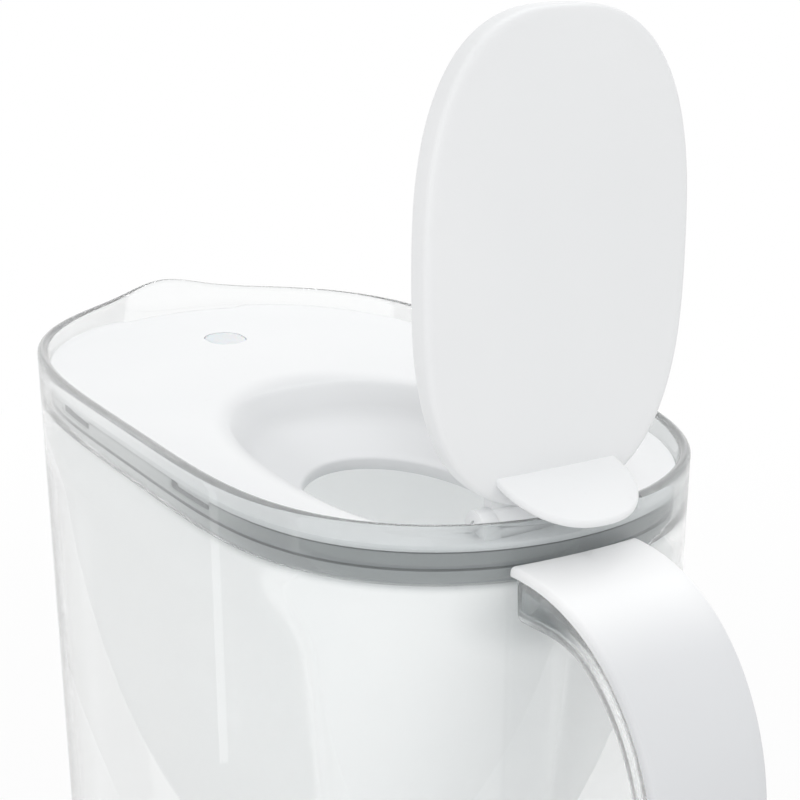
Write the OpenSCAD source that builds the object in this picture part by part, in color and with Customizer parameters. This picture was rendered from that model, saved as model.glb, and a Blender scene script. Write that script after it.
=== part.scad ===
// Water filter jug with a lift-out hopper, an oval filter cartridge and a flip lid.
// Millimetres. +X points to the handle, -X to the pour lip, +Z up, origin at the centre of the base.

/* [Jug] */
// Length of the jug at its rim, pour lip left out
jug_len = 208.5; // [180:0.5:240]
// Width of the jug at its rim
jug_w = 116.8; // [100:0.2:140]
// Height of the rim above the base
jug_h = 250; // [215:1:290]
// Thickness of the clear wall
wall = 2.4; // [1.8:0.1:3]
// How much narrower the base is than the rim, as a share
base_shrink = 0.035; // [0:0.005:0.06]
// Thickness of the floor
floor_t = 4; // [3:0.5:6]
// Radius between the wall and the floor, outside
base_r = 14; // [8:1:20]
// How flat the long sides are
side_flat = 0.115; // [0.05:0.005:0.12]
// How full the two ends are
end_full = 0.03; // [0:0.01:0.05]
// How much blunter the handle end is than the spout end
blunt = 0.085; // [0:0.005:0.1]
// How much wider the spout half is than the handle half
egg = 0.056; // [0:0.004:0.08]
// Rise of the pour lip above the rim
lip_rise = 3; // [1:0.5:5]
// How far the pour lip stands out from the wall
lip_out = 6; // [3:0.5:8]

/* [Handle] */
// Width of the handle at its two roots
handle_w = 31; // [26:0.5:36]
// Width of the handle at the grip
grip_w = 25.5; // [22:0.5:32]
// How far the handle's outside stands behind the rim
handle_out = 44.5; // [36:0.5:50]
// Height of the handle between its two roots
handle_len = 157; // [130:1:175]
// Distance of the cover's top face below the rim, where it meets the jug
handle_drop = 9; // [6:0.5:14]
// Thickness of the cover
cover_t = 2.4; // [1.6:0.1:3]
// Depth of the clear channel under the cover
channel_d = 5.5; // [5:0.5:9]
// Thickness of the channel's walls
channel_wall = 2; // [1.6:0.1:2.4]

/* [Hopper] */
// Distance of the ledge in the jug below the rim
ledge_drop = 13.2; // [11:0.2:18]
// Width of that ledge
ledge_w = 1.4; // [1.2:0.1:2]
// Height of the hopper's collar above the ledge
collar_h = 7.1; // [6:0.1:9]
// Wall of the hopper
hopper_wall = 1.8; // [1.5:0.1:2.4]
// Room between the cartridge's foot and the jug's floor
cart_room = 35; // [20:1:50]
// Place of the cartridge along the jug
cart_x = 16; // [0:1:24]
// Length of each air slot in the collar
slot_len = 17; // [10:1:20]
// Height of each air slot
slot_h = 2.2; // [1.5:0.1:2.6]

/* [Cartridge] */
// Length of the oval cartridge
cart_len = 62; // [54:1:68]
// Width of the oval cartridge
cart_w = 50; // [44:1:54]
// Length of the cartridge below its flange
cart_drop = 76; // [50:1:90]
// Wall of the cartridge
cart_wall = 1.6; // [1.2:0.1:2.4]
// Height of the cap above the flange
cap_h = 18; // [12:1:24]

/* [Lid] */
// Thickness of the lid
lid_t = 2; // [1.6:0.1:2.6]
// Thickness of the lid's edge, which lies on the collar
lid_edge_t = 1.4; // [1.2:0.1:2]
// How far the lid stays flat behind the indicator before it falls to the recess
flat_past = 2.9; // [2:0.1:4]
// How much longer the filling recess is than the panel, on each end
dish_more_a = 8.8; // [8:0.2:11]
// How much wider the filling recess is than the panel, on each side
dish_more_b = 3.7; // [3:0.1:6]
// How far the recess reaches behind the hinge axis
dish_past = 2.5; // [2:0.1:3]
// How square the recess's oval is
dish_square = 2.5; // [2.2:0.02:3]
// Depth of the recess from the lid's edge to the filling hole
dish_depth = 15.8; // [12:0.2:18]
// Width of the recess's slope at the two ends of the filling hole
slope_a = 24; // [20:0.5:28]
// Width of the recess's slope at the two sides of the filling hole
slope_b = 13; // [12:0.5:16]
// How far the filling hole lies nearer to the spout than the recess's centre
hole_shift = 2; // [0:0.5:4]

/* [Flip lid] */
// Half the length of the panel
panel_a = 49.2; // [42:0.2:50]
// Half the width of the panel
panel_b = 30.8; // [26:0.2:31]
// Depth of the panel's side wall
panel_d = 5.5; // [5:0.1:6]
// Thickness of the panel's skin
panel_t = 1.8; // [1.5:0.1:2.2]
// How square the panel's oval is
panel_square = 2.64; // [2.2:0.02:3]
// Length of the thumb tab
tab_len = 18; // [14:0.2:19]
// Width of the thumb tab
tab_w = 29; // [22:0.5:30]
// Thickness of the thumb tab
tab_t = 1.8; // [1.5:0.1:2]
// Radius of the hinge stubs
stub_r = 1.5; // [1.2:0.1:1.8]
// Distance from the hinge axis to the jug's outer wall
hinge_inset = 10.75; // [10:0.25:12]
// Distance of the hinge axis below the rim
hinge_drop = 3.5; // [3:0.1:4]

/* [Filter-change indicator] */
// Length of the oval button
button_len = 13; // [10:0.5:15]
// Width of the oval button
button_w = 10.5; // [8:0.5:12]
// Travel of the button
button_travel = 0.8; // [0.5:0.1:1]
// Distance of the button from the jug's spout end
button_inset = 39.5; // [34:0.5:44]
// Diameter of the coin cell
cell_d = 20; // [16:0.5:20]

/* [Fits] */
// Gap between pieces that lift out of each other
lift_gap = 0.35; // [0.3:0.05:0.5]
// Radial gap of the hinge stubs in their lugs
hinge_gap = 0.06; // [0.03:0.01:0.1]
// Gap at the sides of parts that swing or slide past each other
side_gap = 0.3; // [0.3:0.05:0.5]

/* [Hidden] */

steps = 72;             // points round each outline
turn = 360 / steps;     // mean angle between them
crowd = 0.4;            // how much closer they lie at the spout than on the whole
angles = [for (i = [0:steps - 1]) i * turn + crowd * sin(i * turn) * 180 / PI];
joint_bite = 0.4;       // overlap of features that are moulded as one piece

// Rim and ledge heights
ledge_z = jug_h - ledge_drop;
collar_top = ledge_z + collar_h;
lid_top = collar_top + lid_edge_t;

// Insets of the nested pieces from the jug's outer outline
collar_in = wall + lift_gap;
collar_step = 0.4;      // set-back of the collar's upper half
collar_step_h = 4.6;    // height of that step above the ledge
funnel_in = wall + ledge_w + lift_gap;
skirt_in = collar_in + hopper_wall + lift_gap;
skirt_t = 1.5;
skirt_h = 5.4;          // how far the lid's skirt reaches into the collar
pour_gap = 3;           // extra gap between collar and jug at the pour lip
pour_half = 12.5;       // half the angle of the pour channel
pour_step = 0.4;        // how much lower the ledge's remains lie in the pour channel
pour_fade = 8;          // how soon the channel runs out down the hopper
rim_round = 0.8;        // rounding of the rim
rim_steps = [4, 9];     // heights below the rim at which the wall is drawn, on both sides
lip_steps = [18, 28];   // further ones outside, where the pour lip bulges
mid_z = 0.4 * jug_h;    // height of the ring that holds the wall straight
ledge_t = 3;            // thickness of the ledge
ledge_under = 12;       // height over which the ledge runs back into the wall
corner_more = 0.4;      // how much wider the radius inside the base is than the wall asks for

// Pour lip: spread of its rise and of its bulge in degrees, and how deep the bulge runs
lip_rise_spread = 8;
lip_out_spread = 15;
lip_rise_depth = 25;
lip_depth = 42;

// Cartridge seat
seat_z = floor_t + cart_room + cart_drop;
hopper_depth = ledge_z - seat_z;
seat_gap = lift_gap + 0.05;
sleeve_t = 2.2;
sleeve_h = 17;
floor_rise = 2;         // thickness of the hopper's floor at the seat
seat_rim = [2.8, 1.8];  // width of the hopper's floor round the sleeve, at its ends and sides
seat_a = cart_len / 2 + sleeve_t + seat_rim[0];
seat_b = cart_w / 2 + sleeve_t + seat_rim[1];
hopper_neck = 0.8;      // depth of the hopper's first ring below the ledge
hopper_foot = 0.6;      // height of the collar's inner foot above the ledge
inner_lift = 0.9;       // how much higher the inner skin's rings lie, doubled at the seat
front_curve = 2.8;      // how the hopper's front, back and sides curve in towards the seat
back_curve = 1.8;
side_curve = 2.6;
slots_x = [-26, 38];    // places of the air slots along the jug
slot_cut = 20;          // how far each slot's cut reaches across the collar
flange_w = 1.6;
flange_t = 2;
screen_t = 0.6;
fill_gap = 0.2;         // gap between the shell and what it holds
seal_h = 3;
seal_drop = 8;          // distance of the seal below the flange
seal_in = 0.8;          // depth of its groove
seal_squeeze = 0.05;    // gap left between the seal and what it touches
seal_play = 0.1;        // gap above and below the seal in its groove
outlet_t = 2;
outlet_slots = 7;
outlet_pitch = 6;
outlet_slot_w = 2.4;
dome_in = 5;            // how far the cap's dome stands in from the cartridge's outline
dome_low = 8;           // how much lower the dome is than the grip
dome_skin = 1.4;
cap_rim_t = 1.6;
cap_play = 0.1;         // gap between the cap's spigot and the shell
inlets = 6;             // in each of two rows
inlet_pitch = 7;
inlet_w = 2;
inlet_len = 10;
grip_len = 24;
grip_t = 3;
grip_r = 3;

// Lid recess, with its upper and lower curves as [inset from its outline, depth below its edge]
dish_drop = 2.1;        // height lost between the lid's edge and the recess's edge
dish_top = lid_top - dish_drop;
dish_bottom = lid_top - dish_depth;
dish_a = panel_a + dish_more_a;
dish_b = panel_b + dish_more_b;
dish_curve = [[0, -0.6], [1.5, 0.3], [3.5, 2.8], [6.5, 6.5], [11, 9.2]];
dish_under = [[9, 10.6], [4.6, 7.8], [1.5, 4.2], [-0.4, 1.9]];
dish_narrow = 0.8;      // how much less the curves lean at the sides than at the ends
hole_a = dish_a - slope_a;
hole_b = dish_b - slope_b;
hole_collar_h = 3;
hole_round = 0.5;       // height of the rounding into the hole
edge_flat = 3;          // width of the lid's flat border
hole_wall = [1.4, 0, 1.6, 2.6]; // grow of the hole's rings: slope's foot, bore, lower edge, upper corner

// Hinge
axis_x = jug_len / 2 - hinge_inset;
axis_z = jug_h - hinge_drop;
dish_x = axis_x + dish_past - dish_a;
hole_x = dish_x - hole_shift;
face_off = 1.5;         // distance of the panel's face from the hinge axis
panel_near = 2.4;       // distance of the panel's near edge from the hinge axis
panel_far = panel_a + panel_near;
panel_crown = 0.8;
face_in = [7, 15, 23];  // insets of the rings on the panel's face
back_in = [15, 5];      // and on its back
face_edge = [[0, 1], [0.4, 0.25]];          // edge of the face: inset, depth
foot_edge = [[0.3, 0], [0, 0.6]];           // foot of the side wall: inset, height
face_start = 1.4;       // inset at which the face's crown begins
barrel_r = stub_r + 1.7;
barrel_half = tab_w / 2 - 0.1;
neck_l = 9;             // length of the neck that joins the barrel to the panel
neck_set = 0.4;         // how far the neck's face stands back from the barrel
lug_r = stub_r + 2.1;
lug_t = 3.6;
lug_sink = 1.2;         // how deep the lugs' feet stand in the lid
stub_play = 0.4;        // gap between the end of a stub and the outer side of its lug
tab_root = [-8.4, face_off];
tab_sink = 1.2;         // how deep the tab's root stands in the panel
tab_lean = 16.7;
tab_square = 2.3;

// Indicator
button_x = button_inset - jug_len / 2;
button_flange = 0.9;
button_rim = 1.4;       // how far the button's flange stands out under the lid
button_low = 0.05;      // how far the button's face lies below the lid's
stem_r = 1.5;
stem_l = 1.1;
housing_r = cell_d / 2 + 3.2;
housing_t = 1.4;
housing_top = lid_top - lid_t;
cell_play = 0.6;        // radial gap round the coin cell
board_t = 1;
board_play = 0.2;
board_gap = 2.6;        // height between button flange and board
led = [2.4, 2, 1.1];
led_x = 3;
switch_base = [5.2, 5.2, 0.5];
switch_x = -1;
switch_tip_r = 1.6;
press_play = 0.1;       // gap between the stem and the switch when the button is down
cell_t = 3.2;
cell_room = 2.3;        // height between the coin cell and the board
contact_t = 0.4;
contact_len = 10;
contact_w = 4;
door_t = 2;
door_deep = 2.8;        // how far the door's plug reaches up to the coin cell
door_play = 0.2;        // radial gap round the plug
seal_ring_t = 0.8;
seal_ring_in = 0.5;     // inset of the seal's groove from the door's edge
seal_ring_gap = 0.1;
coin_slot = [16, 1.6, 0.8];

// Outline of the jug: x and y at angle t for a half length hl and a half width hw
function plan_x(t, hl) =
    hl * ((cos(t) + end_full * cos(3 * t)) / (1 + end_full) + blunt * (1 - cos(2 * t)) / 2);
function plan_y(t, hw) =
    hw * (sin(t) + side_flat * sin(3 * t)) / (1 - side_flat) * (1 - egg * cos(t));
function off_spout(t) = abs(t - 180);
function bell(d, spread) = exp(-pow(d / spread, 2));
function ease(u) = u <= 0 ? 0 : u >= 1 ? 1 : u * u * (3 - 2 * u);
function lip_fade(z) = ease(1 - (jug_h - z) / lip_depth);
function bulge(t, z) = lip_out * bell(off_spout(t), lip_out_spread) * lip_fade(z);
function rise(t) = lip_rise * bell(off_spout(t), lip_rise_spread);
function shrink(z) = 1 - base_shrink * (1 - z / jug_h);
function in_pour(t) = off_spout(t) < pour_half ? 1 : 0;

// A point of the jug's skin at height z, inset from the outer skin
function jug_pt(t, z, inset) = [
    plan_x(t, jug_len / 2 * shrink(z) - inset) - bulge(t, z),
    plan_y(t, jug_w / 2 * shrink(z) - inset),
    z
];
function jug_ring(z, inset) = [for (t = angles) jug_pt(t, z, inset)];
// The rim follows the lip upwards
function rim_ring(z, inset) = [
    for (t = angles)
        let (p = jug_pt(t, z, inset)) [p[0], p[1], z + rise(t) * ease(1 - (jug_h - z) / lip_rise_depth)]
];
// The ledge runs out at the pour lip
function ledge_ring(z, inset) = [
    for (t = angles) jug_pt(t, z - pour_step * in_pour(t), inset - ledge_w * in_pour(t))
];
// Outline of the pieces that nest in the rim, which stand back at the pour lip
function nest_ring(z, inset) = [
    for (t = angles)
        let (s = inset + pour_gap * in_pour(t))
            [plan_x(t, jug_len / 2 * shrink(z) - s), plan_y(t, jug_w / 2 * shrink(z) - s), z]
];

// Ovals, squarer with a higher n, and stadium outlines
function side(v) = sign(round(v * 1000));
function oval_pt(t, a, b, n) = [
    a * side(cos(t)) * pow(abs(cos(t)), 2 / n),
    b * side(sin(t)) * pow(abs(sin(t)), 2 / n)
];
function oval_ring(cx, a, b, n, z) = [for (t = angles) let (p = oval_pt(t, a, b, n)) [cx + p[0], p[1], z]];
function stadium_pt(t, straight, r) = [r * cos(t) + straight * side(cos(t)), r * sin(t)];
function stadium_ring(cx, grow, z) = [
    for (t = angles) let (p = stadium_pt(t, (cart_len - cart_w) / 2, cart_w / 2 + grow)) [cx + p[0], p[1], z]
];

// Hopper wall: u runs from the ledge (0) to the seat (1), grow is outwards
top_a = jug_len / 2 * shrink(ledge_z) - funnel_in;
top_b = jug_w / 2 * shrink(ledge_z) - funnel_in;
function hopper_front(u) = -top_a + (top_a + cart_x - seat_a) * pow(u, front_curve);
function hopper_back(u) = top_a - (top_a - cart_x - seat_a) * pow(u, back_curve);
function hopper_half(u) = top_b - (top_b - seat_b) * pow(u, side_curve);
function hopper_pt(u, grow, t) =
    let (
        a = (hopper_back(u) - hopper_front(u)) / 2 + grow,
        c = (hopper_back(u) + hopper_front(u)) / 2,
        b = hopper_half(u) + grow,
        w = ease(u),
        q = stadium_pt(t, a - b, b),
        s = 1 - base_shrink * hopper_depth * u / jug_h * (1 - u),
        g = pour_gap * in_pour(t) * ease(1 - pour_fade * u)
    ) [
        c + (plan_x(t, a - g) * (1 - w) + q[0] * w) * s,
        (plan_y(t, b - g) * (1 - w) + q[1] * w) * s
    ];
function hopper_ring(u, grow, z) = [for (t = angles) let (p = hopper_pt(u, grow, t)) [p[0], p[1], z]];
function hopper_z(u) = ledge_z - hopper_neck - (hopper_depth - floor_rise - hopper_neck) * u;

// Skins -------------------------------------------------------------------------------------------

// Side faces between two neighbouring rings of n points
function band_faces(k, l, n) = [
    for (i = [0:n - 1])
        let (j = (i + 1) % n)
            each [[k * n + i, l * n + i, l * n + j], [k * n + i, l * n + j, k * n + j]]
];
// Solid through a stack of rings, closed by its first and last ring
module capped_loft(rings) {
    n = len(rings[0]);
    m = len(rings);
    polyhedron(
        points = [for (r = rings) each r],
        faces = concat(
            [[for (i = [0:n - 1]) i]],
            [for (k = [0:m - 2]) each band_faces(k, k + 1, n)],
            [[for (i = [n - 1:-1:0]) (m - 1) * n + i]]
        )
    );
}
// The same for a bent strip, whose section runs out along one side and back along the other
module strip_loft(rings) {
    n = len(rings[0]);
    m = len(rings);
    half = n / 2 - 1;
    quads = [
        for (k = [0:half - 1])
            k < half / 2 ? [k, k + 1, n - 2 - k, n - 1 - k] : [k + 1, n - 2 - k, n - 1 - k, k]
    ];
    polyhedron(
        points = [for (r = rings) each r],
        faces = concat(
            quads,
            [for (k = [0:m - 2]) each band_faces(k, k + 1, n)],
            [for (q = quads) [for (i = [0, 3, 2, 1]) (m - 1) * n + q[i]]]
        )
    );
}
// Ring-shaped solid whose section is closed on itself
module looped_loft(rings) {
    n = len(rings[0]);
    m = len(rings);
    polyhedron(
        points = [for (r = rings) each r],
        faces = [for (k = [0:m - 1]) each band_faces(k, (k + 1) % m, n)]
    );
}
// Upright prism on a stadium outline, len long and w wide
module stadium(len, w, h) {
    linear_extrude(height = h) {
        square([len - w, w], center = true);
        for (s = [-1, 1]) translate([s * (len - w) / 2, 0]) circle(d = w, $fn = 64);
    }
}

// Jug and handle ----------------------------------------------------------------------------------

wall_rings = concat(
    [for (z = [base_r, mid_z, jug_h - lip_depth]) jug_ring(z, 0)],
    [for (d = [lip_steps[1], lip_steps[0], rim_steps[1], rim_steps[0], rim_round]) rim_ring(jug_h - d, 0)]
);
module jug_body() {
    inner_r = base_r - wall + corner_more;
    outer = concat(
        [for (a = [0:18:72]) jug_ring(base_r * (1 - cos(a)), base_r * (1 - sin(a)))],
        wall_rings,
        [rim_ring(jug_h, rim_round)]
    );
    inner = concat(
        [rim_ring(jug_h, wall - rim_round)],
        [for (d = [rim_round, rim_steps[0], rim_steps[1]]) rim_ring(jug_h - d, wall)],
        [jug_ring(ledge_z, wall)],
        [for (d = [0, ledge_t]) ledge_ring(ledge_z - d, wall + ledge_w)],
        [for (z = [ledge_z - ledge_under, jug_h - lip_depth, mid_z]) jug_ring(z, wall)],
        [for (a = [90:-18:0]) jug_ring(floor_t + inner_r * (1 - cos(a)), wall + inner_r * (1 - sin(a)))]
    );
    color([0.86, 0.92, 0.93, 0.35]) capped_loft(concat(outer, inner));
}

// The handle's outer line in side view: three joined Bezier arcs, from its upper root to its lower one
hx = jug_len / 2;
cover_lap = 0.5;        // how far the cover stands out over the channel's sides
cover_key = 1.2;        // how deep the cover's middle drops into the channel
cover_round = 0.8;      // rounding of the cover's long edges
cover_crown = 0.2;      // rise of the cover's middle over the handle's line
channel_round = 1;      // slant at the channel's two outer corners
channel_slant = 0.5;    // and at its two inner corners
arc_reach = 0.63;       // how far out the upper arc runs before it turns down
arc_rise = 3.5;         // and how far it rises on the way
arc_fall = 20.6;        // drop at which the upper arc's pull downwards starts
arc_down = 44.6;        // drop from the upper root to the start of the straight grip
top_z = jug_h - handle_drop;
handle_low = top_z - handle_len;
arc_top = [
    [hx - 4, top_z], [hx + handle_out * arc_reach, top_z + arc_rise],
    [hx + handle_out, top_z - arc_fall], [hx + handle_out, top_z - arc_down]
];
arc_grip = [
    [hx + handle_out, top_z - arc_down], [hx + handle_out, handle_low + 66],
    [hx + handle_out - 4, handle_low + 34], [hx + handle_out - 18, handle_low + 16]
];
arc_low = [
    [hx + handle_out - 18, handle_low + 16], [hx + handle_out - 27.8, handle_low + 3.4],
    [hx + 4, handle_low], [hx - 8, handle_low]
];
function bezier(c, u) =
    pow(1 - u, 3) * c[0] + 3 * pow(1 - u, 2) * u * c[1] + 3 * (1 - u) * u * u * c[2] + pow(u, 3) * c[3];
function bezier_dir(c, u) =
    let (d = pow(1 - u, 2) * (c[1] - c[0]) + 2 * (1 - u) * u * (c[2] - c[1]) + u * u * (c[3] - c[2]))
        d / norm(d);
// Each station is a point, a direction and the share of the roots' extra width
handle_stations = concat(
    [for (k = [0:9]) [bezier(arc_top, k / 10), bezier_dir(arc_top, k / 10), 1 - k / 10]],
    [for (k = [0:6]) [bezier(arc_grip, k / 7), bezier_dir(arc_grip, k / 7), 0]],
    [for (k = [0:7]) [bezier(arc_low, k / 7), bezier_dir(arc_low, k / 7), k / 7]]
);
function handle_narrow(share) = (grip_w + (handle_w - grip_w) * share) / handle_w;
// A section given as [across, out] carried along the handle's line, ended at the jug's wall
module handle_sweep(section) {
    difference() {
        strip_loft([
            for (s = handle_stations)
                [for (q = section) [
                    s[0][0] - s[1][1] * q[1],
                    q[0] * handle_narrow(s[2]),
                    s[0][1] + s[1][0] * q[1]
                ]]
        ]);
        capped_loft(wall_rings);
    }
}
module handle_channel() {
    o = handle_w / 2 - cover_lap;
    i = o - channel_wall;
    top = -cover_t;
    deep = top - channel_d;
    floor = deep + channel_wall;
    color([0.86, 0.92, 0.93, 0.35]) handle_sweep([
        [-o, top], [-o, deep + channel_round], [-o + channel_round, deep],
        [o - channel_round, deep], [o, deep + channel_round], [o, top],
        [i, top], [i, floor + channel_slant], [i - channel_slant, floor],
        [-i + channel_slant, floor], [-i, floor + channel_slant], [-i, top]
    ]);
}
// The cover's middle drops between the channel's walls
module handle_cover() {
    o = handle_w / 2;
    i = o - cover_lap - channel_wall - side_gap;
    low = -cover_t - cover_key;
    color("white") handle_sweep([
        [-o, -cover_t], [-i, -cover_t], [-i, low], [0, low], [i, low], [i, -cover_t], [o, -cover_t],
        [o, -cover_round], [o - cover_round, -cover_crown], [o / 2, cover_crown / 4], [0, cover_crown],
        [-o / 2, cover_crown / 4], [-o + cover_round, -cover_crown], [-o, -cover_round]
    ]);
}

// Hopper ------------------------------------------------------------------------------------------

// Stadium prism round the cartridge, grown by a wall or a gap
module seat_prism(grow, z, h) translate([cart_x, 0, z]) stadium(cart_len + 2 * grow, cart_w + 2 * grow, h);
module hopper() {
    down = [1, 0.97, 0.92, 0.84, 0.72, 0.55, 0.35, 0.15, 0.04, 0];
    last = len(down) - 1;
    outer = concat(
        [hopper_ring(1, -hopper_wall, seat_z - floor_rise)],
        [for (u = down) hopper_ring(u, 0, hopper_z(u))],
        [hopper_ring(0, 0, ledge_z)],
        [for (z = [ledge_z, ledge_z + collar_step_h]) nest_ring(z, collar_in)],
        [for (z = [ledge_z + collar_step_h + 0.2, collar_top]) nest_ring(z, collar_in + collar_step)]
    );
    inner = concat(
        [for (z = [collar_top, ledge_z + hopper_foot]) nest_ring(z, collar_in + hopper_wall)],
        [
            for (k = [last:-1:1])
                hopper_ring(down[k], -hopper_wall, hopper_z(down[k]) + inner_lift * (1 + down[k]))
        ],
        [hopper_ring(1, -hopper_wall, seat_z)],
        [for (z = [seat_z, seat_z - floor_rise]) stadium_ring(cart_x, -sleeve_t, z)]
    );
    color([0.9, 0.93, 0.93, 0.8]) difference() {
        union() {
            looped_loft(concat(outer, inner));
            seat_prism(seat_gap + sleeve_t, seat_z - sleeve_h, sleeve_h - joint_bite);
        }
        seat_prism(seat_gap, seat_z - sleeve_h - 1, sleeve_h + 2);
        for (x = slots_x) for (s = [-1, 1])
            translate([x - slot_len / 2, s * jug_w / 2 - slot_cut / 2, collar_top - slot_h])
                cube([slot_len, slot_cut, slot_h + 1]);
    }
}

// Cartridge ---------------------------------------------------------------------------------------

cart_low = seat_z - cart_drop;
cap_z = seat_z + flange_t;
spigot_h = 6;
module cartridge_shell() {
    slot_reach = cart_w * 0.6;
    color("white") translate([cart_x, 0, 0]) difference() {
        union() {
            translate([0, 0, cart_low]) stadium(cart_len, cart_w, cart_drop + flange_t);
            translate([0, 0, seat_z]) stadium(cart_len + 2 * flange_w, cart_w + 2 * flange_w, flange_t);
        }
        translate([0, 0, cart_low + outlet_t])
            stadium(cart_len - 2 * cart_wall, cart_w - 2 * cart_wall, cart_drop + 10);
        for (k = [0:outlet_slots - 1])
            translate([(k - (outlet_slots - 1) / 2) * outlet_pitch, 0, cart_low + outlet_t / 2])
                cube([outlet_slot_w, slot_reach, outlet_t + 2], center = true);
        translate([0, 0, seat_z - seal_drop - seal_h]) difference() {
            stadium(cart_len + 2, cart_w + 2, seal_h);
            stadium(cart_len - 2 * seal_in, cart_w - 2 * seal_in, seal_h);
        }
    }
}
module cartridge_cap() {
    dome_len = cart_len - 2 * dome_in;
    dome_w = cart_w - 2 * dome_in;
    dome_h = cap_h - dome_low;
    plug = 2 * (cart_wall + cap_play);
    room = dome_h + spigot_h + 1 - dome_skin;
    grip_h = cap_h - dome_h + joint_bite;
    color("white") translate([cart_x, 0, cap_z]) {
        difference() {
            union() {
                stadium(cart_len + 2 * flange_w, cart_w + 2 * flange_w, cap_rim_t);
                stadium(dome_len, dome_w, dome_h);
                translate([0, 0, -spigot_h]) stadium(cart_len - plug, cart_w - plug, spigot_h + 1);
            }
            translate([0, 0, -spigot_h - 1]) stadium(dome_len - 2 * dome_skin, dome_w - 2 * dome_skin, room);
            for (k = [0:inlets - 1]) for (s = [-1, 1])
                translate([(k - (inlets - 1) / 2) * inlet_pitch, s * dome_w * 0.28, dome_h])
                    cube([inlet_w, inlet_len, 2 * dome_h], center = true);
        }
        translate([0, grip_t / 2, dome_h - joint_bite]) rotate([90, 0, 0]) linear_extrude(height = grip_t) {
            translate([-grip_len / 2, 0]) square([grip_len, grip_h - grip_r]);
            for (s = [-1, 1])
                translate([s * (grip_len / 2 - grip_r), grip_h - grip_r]) circle(r = grip_r, $fn = 48);
            translate([grip_r - grip_len / 2, 0]) square([grip_len - 2 * grip_r, grip_h]);
        }
    }
}
module screen_plate(z) {
    inset = 2 * (cart_wall + fill_gap);
    translate([cart_x, 0, z]) stadium(cart_len - inset, cart_w - inset, screen_t);
}
inlet_z = cap_z - spigot_h - screen_t;
outlet_z = cart_low + outlet_t;
module inlet_screen() color("gainsboro") screen_plate(inlet_z);
module outlet_screen() color("gainsboro") screen_plate(outlet_z);
module filter_media() {
    inset = 2 * (cart_wall + fill_gap + 0.1);
    color([0.25, 0.24, 0.22]) translate([cart_x, 0, outlet_z + screen_t])
        stadium(cart_len - inset, cart_w - inset, inlet_z - outlet_z - screen_t);
}
module cartridge_seal() {
    out = 2 * (seat_gap - seal_squeeze);
    in = 2 * (seal_in - seal_squeeze);
    color("lightgray") translate([cart_x, 0, seat_z - seal_drop - seal_h + seal_play]) difference() {
        stadium(cart_len + out, cart_w + out, seal_h - 2 * seal_play);
        translate([0, 0, -1]) stadium(cart_len - in, cart_w - in, seal_h + 2);
    }
}

// Lid ---------------------------------------------------------------------------------------------

// Ring part of the way w from the lid's edge to the recess
lid_edge = nest_ring(lid_top, collar_in + edge_flat);
function lid_ring(w, z) = [
    for (i = [0:steps - 1])
        let (e = lid_edge[i], d = oval_pt(angles[i], dish_a, dish_b, dish_square))
            [e[0] + (dish_x + d[0] - e[0]) * w, e[1] + (d[1] - e[1]) * w, z]
];
function dish_ring(q) =
    oval_ring(dish_x, dish_a - q[0], dish_b - q[0] * dish_narrow, dish_square, dish_top - q[1]);
function hole_ring(grow, z) = oval_ring(hole_x, hole_a + grow, hole_b + grow, 2, z);
lug_y = barrel_half + side_gap;
lug_foot = lid_top - lug_sink;
flat_x = button_x + housing_r + flat_past;
flat = (flat_x - lid_edge[steps / 2][0]) / (dish_x - dish_a - lid_edge[steps / 2][0]);
module along_y(y, h, r) {
    translate([axis_x, y + h, axis_z]) rotate([90, 0, 0]) cylinder(r = r, h = h, $fn = 64);
}
module button_outline(grow, z, h) {
    translate([button_x, 0, z]) stadium(button_len + 2 * grow, button_w + 2 * grow, h);
}
module lid() {
    under = lid_top - lid_t;
    rings = [
        nest_ring(lid_top, collar_in),
        lid_ring(0, lid_top),
        lid_ring(flat, lid_top),
        for (q = dish_curve) dish_ring(q),
        hole_ring(hole_wall[0], dish_bottom + hole_round),
        hole_ring(hole_wall[1], dish_bottom),
        hole_ring(hole_wall[1], dish_bottom - hole_collar_h),
        hole_ring(hole_wall[2], dish_bottom - hole_collar_h),
        hole_ring(hole_wall[3], dish_bottom - hole_collar_h / 2),
        for (q = dish_under) dish_ring(q),
        lid_ring(flat, under),
        nest_ring(under, skirt_in + skirt_t),
        nest_ring(collar_top - skirt_h, skirt_in + skirt_t),
        nest_ring(collar_top - skirt_h, skirt_in),
        nest_ring(collar_top, skirt_in),
        nest_ring(collar_top, collar_in)
    ];
    color("whitesmoke") difference() {
        union() {
            looped_loft(rings);
            for (s = [-1, 1]) translate([0, s * (lug_y + lug_t / 2) - lug_t / 2, 0]) {
                along_y(0, lug_t, lug_r);
                translate([axis_x - lug_r, 0, lug_foot]) cube([2 * lug_r, lug_t, axis_z - lug_foot]);
            }
        }
        along_y(-lug_y - lug_t - 1, 2 * (lug_y + lug_t) + 2, stub_r + hinge_gap);
        along_y(-lug_y, 2 * lug_y, barrel_r + 2 * side_gap);
        button_outline(side_gap, under - 1, lid_t + 2);
    }
}

// Filter-change indicator, hung under the lid near the pour lip --------------------------------------

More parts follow.
